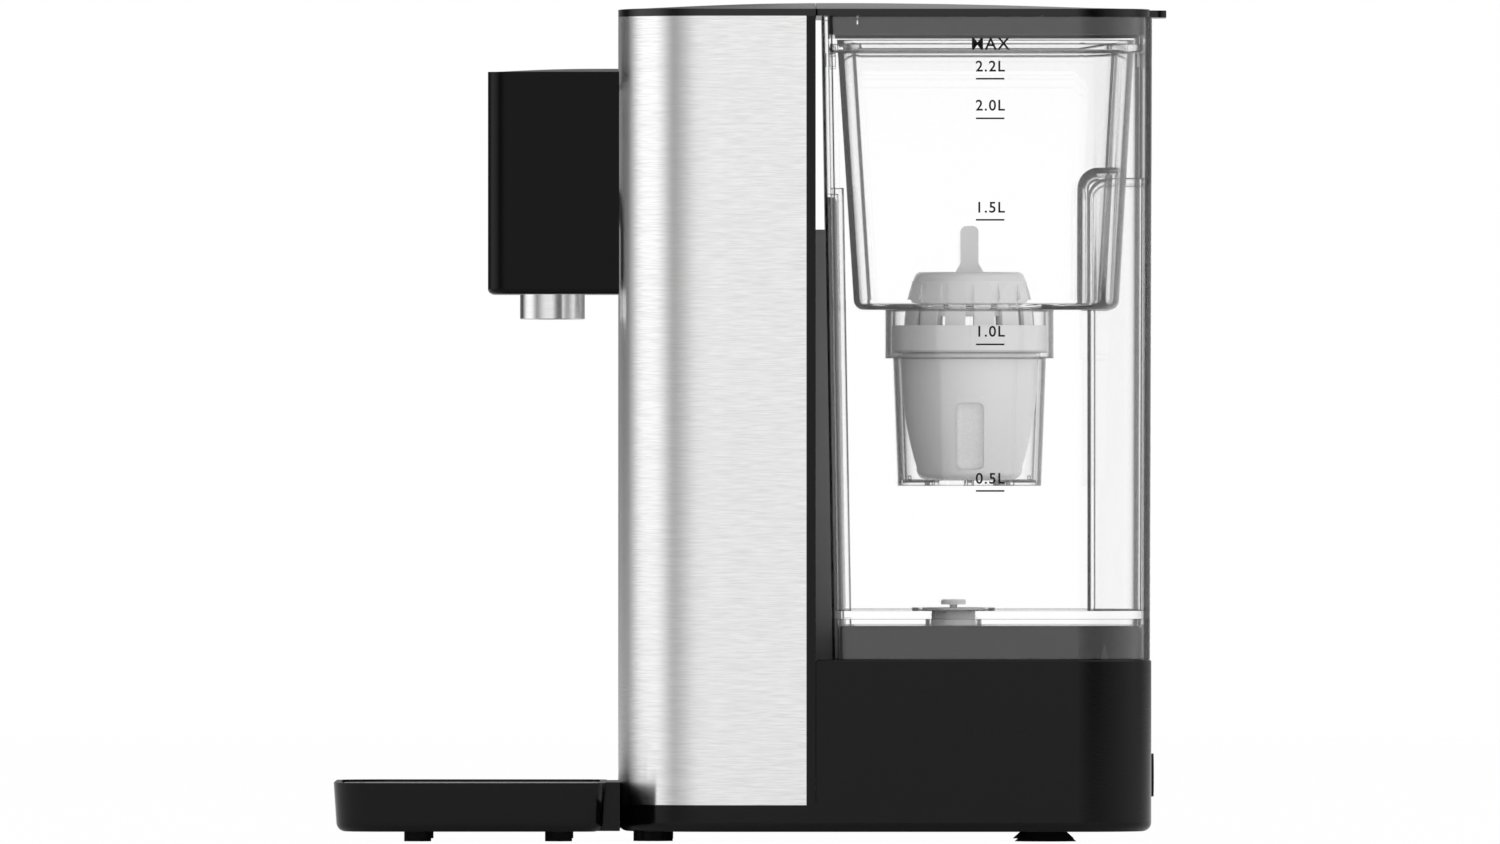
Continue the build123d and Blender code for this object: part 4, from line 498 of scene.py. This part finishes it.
def edge_shade_mask(node_tree, geometry, radius):
    """How much a bevel of this radius would turn the face, the mask of the painted edge shade: 0 away from the
    edges.
    """
    bevelled = node_tree.nodes.new("ShaderNodeBevel")
    bevelled.samples = 6
    bevelled.inputs["Radius"].default_value = radius
    agree = node_tree.nodes.new("ShaderNodeVectorMath")
    agree.operation = "DOT_PRODUCT"
    node_tree.links.new(bevelled.outputs[0], agree.inputs[0])
    node_tree.links.new(geometry.outputs["Normal"], agree.inputs[1])
    return math_node(node_tree, "SUBTRACT", 1.0, agree.outputs["Value"])


print("turn and edge signals ready")

# %% [markdown]
# Clear walls block no light here: shadow rays and diffuse rays pass straight through, as they nearly do
# through real thin plastic. The pieces inside the tank are lit as if it weren't there.

# %% Clear plastic
# painted shade along edges: a clear wall's colour turns nearly black where a bevel disagrees with its face
edge_shade_stops = [(0.0, 1.0), (0.01, 0.60), (0.06, 0.05), (0.30, 0.003)]


def clear(name, turn_shade_stops, gains, edge_radius, index, coat, specular):
    """A clear moulded plastic with painted shade at rounded corners and along edges."""
    made, node_tree, principled = new_material(name)
    geometry = node_tree.nodes.new("ShaderNodeNewGeometry")
    # body multiplies the painted corner shade and the painted edge shade into the clear plastic's colour
    body = node_tree.nodes.new("ShaderNodeMix")
    body.data_type = "RGBA"
    body.blend_type = "MULTIPLY"
    body.inputs["Factor"].default_value = 1.0
    turn_painted_shade = tone_curve(node_tree, turn_shade_mask(node_tree, geometry, gains), turn_shade_stops)
    edge_painted_shade = tone_curve(node_tree, edge_shade_mask(node_tree, geometry, edge_radius), edge_shade_stops)
    node_tree.links.new(turn_painted_shade, body.inputs["A"])
    node_tree.links.new(edge_painted_shade, body.inputs["B"])
    node_tree.links.new(body.outputs["Result"], principled.inputs["Base Color"])
    principled.inputs["Roughness"].default_value = 0.0
    principled.inputs["IOR"].default_value = index
    principled.inputs["Transmission Weight"].default_value = 1.0
    principled.inputs["Coat Weight"].default_value = coat
    principled.inputs["Coat Roughness"].default_value = 0.0
    principled.inputs["Specular IOR Level"].default_value = specular
    through = node_tree.nodes.new("ShaderNodeBsdfTransparent")
    ray = node_tree.nodes.new("ShaderNodeLightPath")
    lighting = math_node(node_tree, "MAXIMUM", ray.outputs["Is Shadow Ray"], ray.outputs["Is Diffuse Ray"])
    surface = principled.outputs[0].links[0].to_socket
    node_tree.links.new(mix_shaders(node_tree, lighting, principled.outputs[0], through.outputs[0]), surface)
    return made


# %% [markdown]
# Each list goes through (turn, tone) or (place along Y, gain). The tones are painted shade: they fall from
# clear to nearly black where a corner has turned far enough.

# %% Tank and funnel
# painted shade: the tank's turned corners go dark in colour, and more widely near its rear corners
tank_shade_stops = [(0.0, 1.0), (0.30, 1.0), (0.40, 0.70), (0.48, 0.006), (0.80, 0.001)]
tank_shade_gains = [(0.0, 1.0), (0.112, 1.0), (0.118, 1.6), (0.131, 1.6), (0.134, 0.80)]
tank_clear = clear("tank_clear", tank_shade_stops, tank_shade_gains, edge_radius=0.0005, index=1.03, coat=1.0, specular=0.5)
dress(tank_clear, "tank_vessel")

funnel_shade_stops = [(0.0, 1.0), (0.22, 1.0), (0.33, 0.60), (0.37, 0.006), (0.80, 0.001)]
funnel_shade_gains = [
    (0.0, 1.0), (0.049, 1.0), (0.051, 0.55), (0.112, 0.55), (0.115, 1.4), (0.130, 1.4), (0.132, 0.67),
]
funnel_clear = clear(
    "funnel_clear", funnel_shade_stops, funnel_shade_gains, edge_radius=0.0009, index=1.5, coat=0.0, specular=0.2)
dress(funnel_clear, "funnel")

# %% [markdown]
# ## Cartridge and valve
#
# The cartridge is glossy white moulded plastic, its seal is pale rubber, and the valve in the tank's floor is
# a plastic in its natural white.

# %% White plastic
white = moulded("white_plastic", grey(0.80), grey(0.84), (0.20, 0.28), 0.7, 800.0, 0.00001)
dress(white, "cartridge_body", "cartridge_cap")
pale_rubber = moulded("pale_rubber", grey(0.50), grey(0.56), (0.5, 0.6), 0.4, 800.0, 0.00003)
dress(pale_rubber, "cartridge_seal")
natural = moulded("natural_plastic", grey(0.70), grey(0.76), (0.3, 0.4), 0.5, 700.0, 0.00002)
dress(natural, "valve_body", "valve_poppet")

# %% [markdown]
# The bed behind the cartridge's windows is a pale grain in a fine mesh, painted paler still as painted light
# for the shade in its recess. A Voronoi texture packs cells as grains are packed, and its distance serves as
# both tone and relief.

# %% Filter bed
media, tree, shader = new_material("filter_media")
beads = tree.nodes.new("ShaderNodeTexVoronoi")
beads.inputs["Scale"].default_value = 900.0
place = tree.nodes.new("ShaderNodeTexCoord")
tree.links.new(place.outputs["Object"], beads.inputs["Vector"])
# painted light: both grain tones are near white, paler than the bed's own grain, to lift the shade in the
# window recess
bead_grain_and_painted_light = two_tone(tree, beads.outputs["Distance"], grey(0.95), grey(0.88), 0.1, 0.6)
tree.links.new(bead_grain_and_painted_light, shader.inputs["Base Color"])
shader.inputs["Roughness"].default_value = 0.7
bump(tree, shader, beads.outputs["Distance"], 0.0001, 0.3)
dress(media, "filter_media")

# %% [markdown]
# ## Inside the base
#
# Nothing in here shows from outside, but each piece has its finish: a pump with a steel motor can, a
# heater in a steel tube, a pale steam separator and silicone tubes.

# %% Inner pieces
dress(dark_grey, "pump_housing", "heater_caps")
dress(screw_steel, "pump_motor", "heater_clamps")
dress(rubber, "pump_cradle")
dress(natural, "pump_rotor", "steam_separator")
dress(sleeve_steel, "heater_tube")
silicone = moulded("silicone", grey(0.52), grey(0.60), (0.32, 0.42), 0.4, 500.0, 0.00003)
silicone.node_tree.nodes["Principled BSDF"].inputs["Subsurface Weight"].default_value = 0.1
dress(silicone, "inlet_tube", "feed_tube", "riser_tube", "outlet_tube")

# %% [markdown]
# The three circuit boards are green, with paler tracks under the lacquer. A Brick texture lays the tracks
# out on a grid.

# %% Circuit boards
board, tree, shader = new_material("circuit_board")
tracks = tree.nodes.new("ShaderNodeTexBrick")
tracks.inputs["Color1"].default_value = (0.010, 0.055, 0.024, 1.0)
tracks.inputs["Color2"].default_value = (0.014, 0.070, 0.030, 1.0)
tracks.inputs["Mortar"].default_value = (0.030, 0.130, 0.060, 1.0)
tracks.inputs["Scale"].default_value = 260.0
tracks.inputs["Mortar Size"].default_value = 0.05
place = tree.nodes.new("ShaderNodeTexCoord")
tree.links.new(place.outputs["Object"], tracks.inputs["Vector"])
tree.links.new(tracks.outputs["Color"], shader.inputs["Base Color"])
tree.links.new(spread(tree, tracks.outputs["Fac"], 0.45, 0.25, 0.0, 1.0), shader.inputs["Roughness"])
bump(tree, shader, tracks.outputs["Fac"], 0.00003, 0.5)
dress(board, "power_board", "touch_board", "level_board")
undressed = [name for name in nodes if not nodes[name].data.materials]
print("nodes without a finish:", undressed)

# %% [markdown]
# ## Marks on the tank
#
# The volume scale is printed on the tank's side, nearly black: a number over a short bar for each level,
# and a word for the highest. Each mark lies on the wall, which leans in slightly towards its foot. The print
# is seen straight on only, so that the walls behind it show no ghosts of it.

# %% Print helpers
ink = moulded("print_ink", grey(0.008), grey(0.014), (0.5, 0.6), 0.1, 2500.0, 0.000004)
tank_low, tank_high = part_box("tank_vessel")
lean_in = 0.0006  # how far the side wall comes in from the tank's top to its foot
side_lean = lean_in / (tank_high.z - tank_low.z)
print_lift = 0.00006  # how far the print stands off the wall
scale_y = 0.0883


def on_side(z):
    """A frame on the tank's side: its x runs towards the rear, its y up, its z out of the wall."""
    wall_x = tank_high.x - side_lean * (tank_high.z - z) + print_lift
    axes = Matrix(((0, 0, 1), (1, 0, 0), (0, 1, 0))).to_4x4()
    return Matrix.Translation((wall_x, scale_y, z)) @ axes


def print_on_tank(name, mesh, z):
    """Puts a flat mesh on the tank's side as ink; it moves with the tank."""
    mesh.materials.clear()
    mesh.materials.append(ink)
    mark = bpy.data.objects.new(name, mesh)
    mark.matrix_world = on_side(z)
    mark.visible_glossy = False
    mark.visible_transmission = False
    bpy.context.collection.objects.link(mark)
    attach(mark, "tank")


print("side wall leans in", lean_in * 1000, "mm")

# %% [markdown]
# The letters are a text curve, made into a mesh and spread a little so that they are as bold as print.

# %% Volume scale
text_size = 0.0056
top_word_size = text_size * 1.1
letter_space = 1.15
letter_swell = 0.00008
bar_length, bar_height = 0.0105, 0.0006
marks = [  # text, height of its middle, height of its bar
    ("2.2L", 0.2857, 0.2813),
    ("2.0L", 0.2713, 0.2667),
    ("1.5L", 0.2337, 0.2293),
    ("1.0L", 0.1880, 0.1834),
    ("0.5L", 0.1338, 0.1294),
]


def printed_word(name, text, z, size):
    """A printed word, centred on the scale's line."""
    curve = bpy.data.curves.new(name, "FONT")
    curve.body = text
    curve.size = size
    curve.align_x, curve.align_y = "CENTER", "CENTER"
    curve.resolution_u = 4
    curve.space_character = letter_space
    curve.offset = letter_swell
    source = bpy.data.objects.new(name + "_source", curve)
    bpy.context.collection.objects.link(source)
    evaluated = source.evaluated_get(bpy.context.evaluated_depsgraph_get())
    mesh = bpy.data.meshes.new_from_object(evaluated)
    bpy.data.objects.remove(source)
    print_on_tank(name, mesh, z)


def printed_bar(name, z):
    """A printed bar as a thin face."""
    mesh = bpy.data.meshes.new(name)
    a, b = bar_length / 2, bar_height / 2
    mesh.from_pydata([(-a, -b, 0), (a, -b, 0), (a, b, 0), (-a, b, 0)], [], [(0, 1, 2, 3)])
    print_on_tank(name, mesh, z)


printed_word("mark_max", "MAX", 0.2940, top_word_size)
for text, text_z, bar_z in marks:
    label = text.replace(".", "_")
    printed_word("mark_" + label, text, text_z, text_size)
    printed_bar("bar_" + label, bar_z)
print("scale:", len(marks) + 1, "marks")
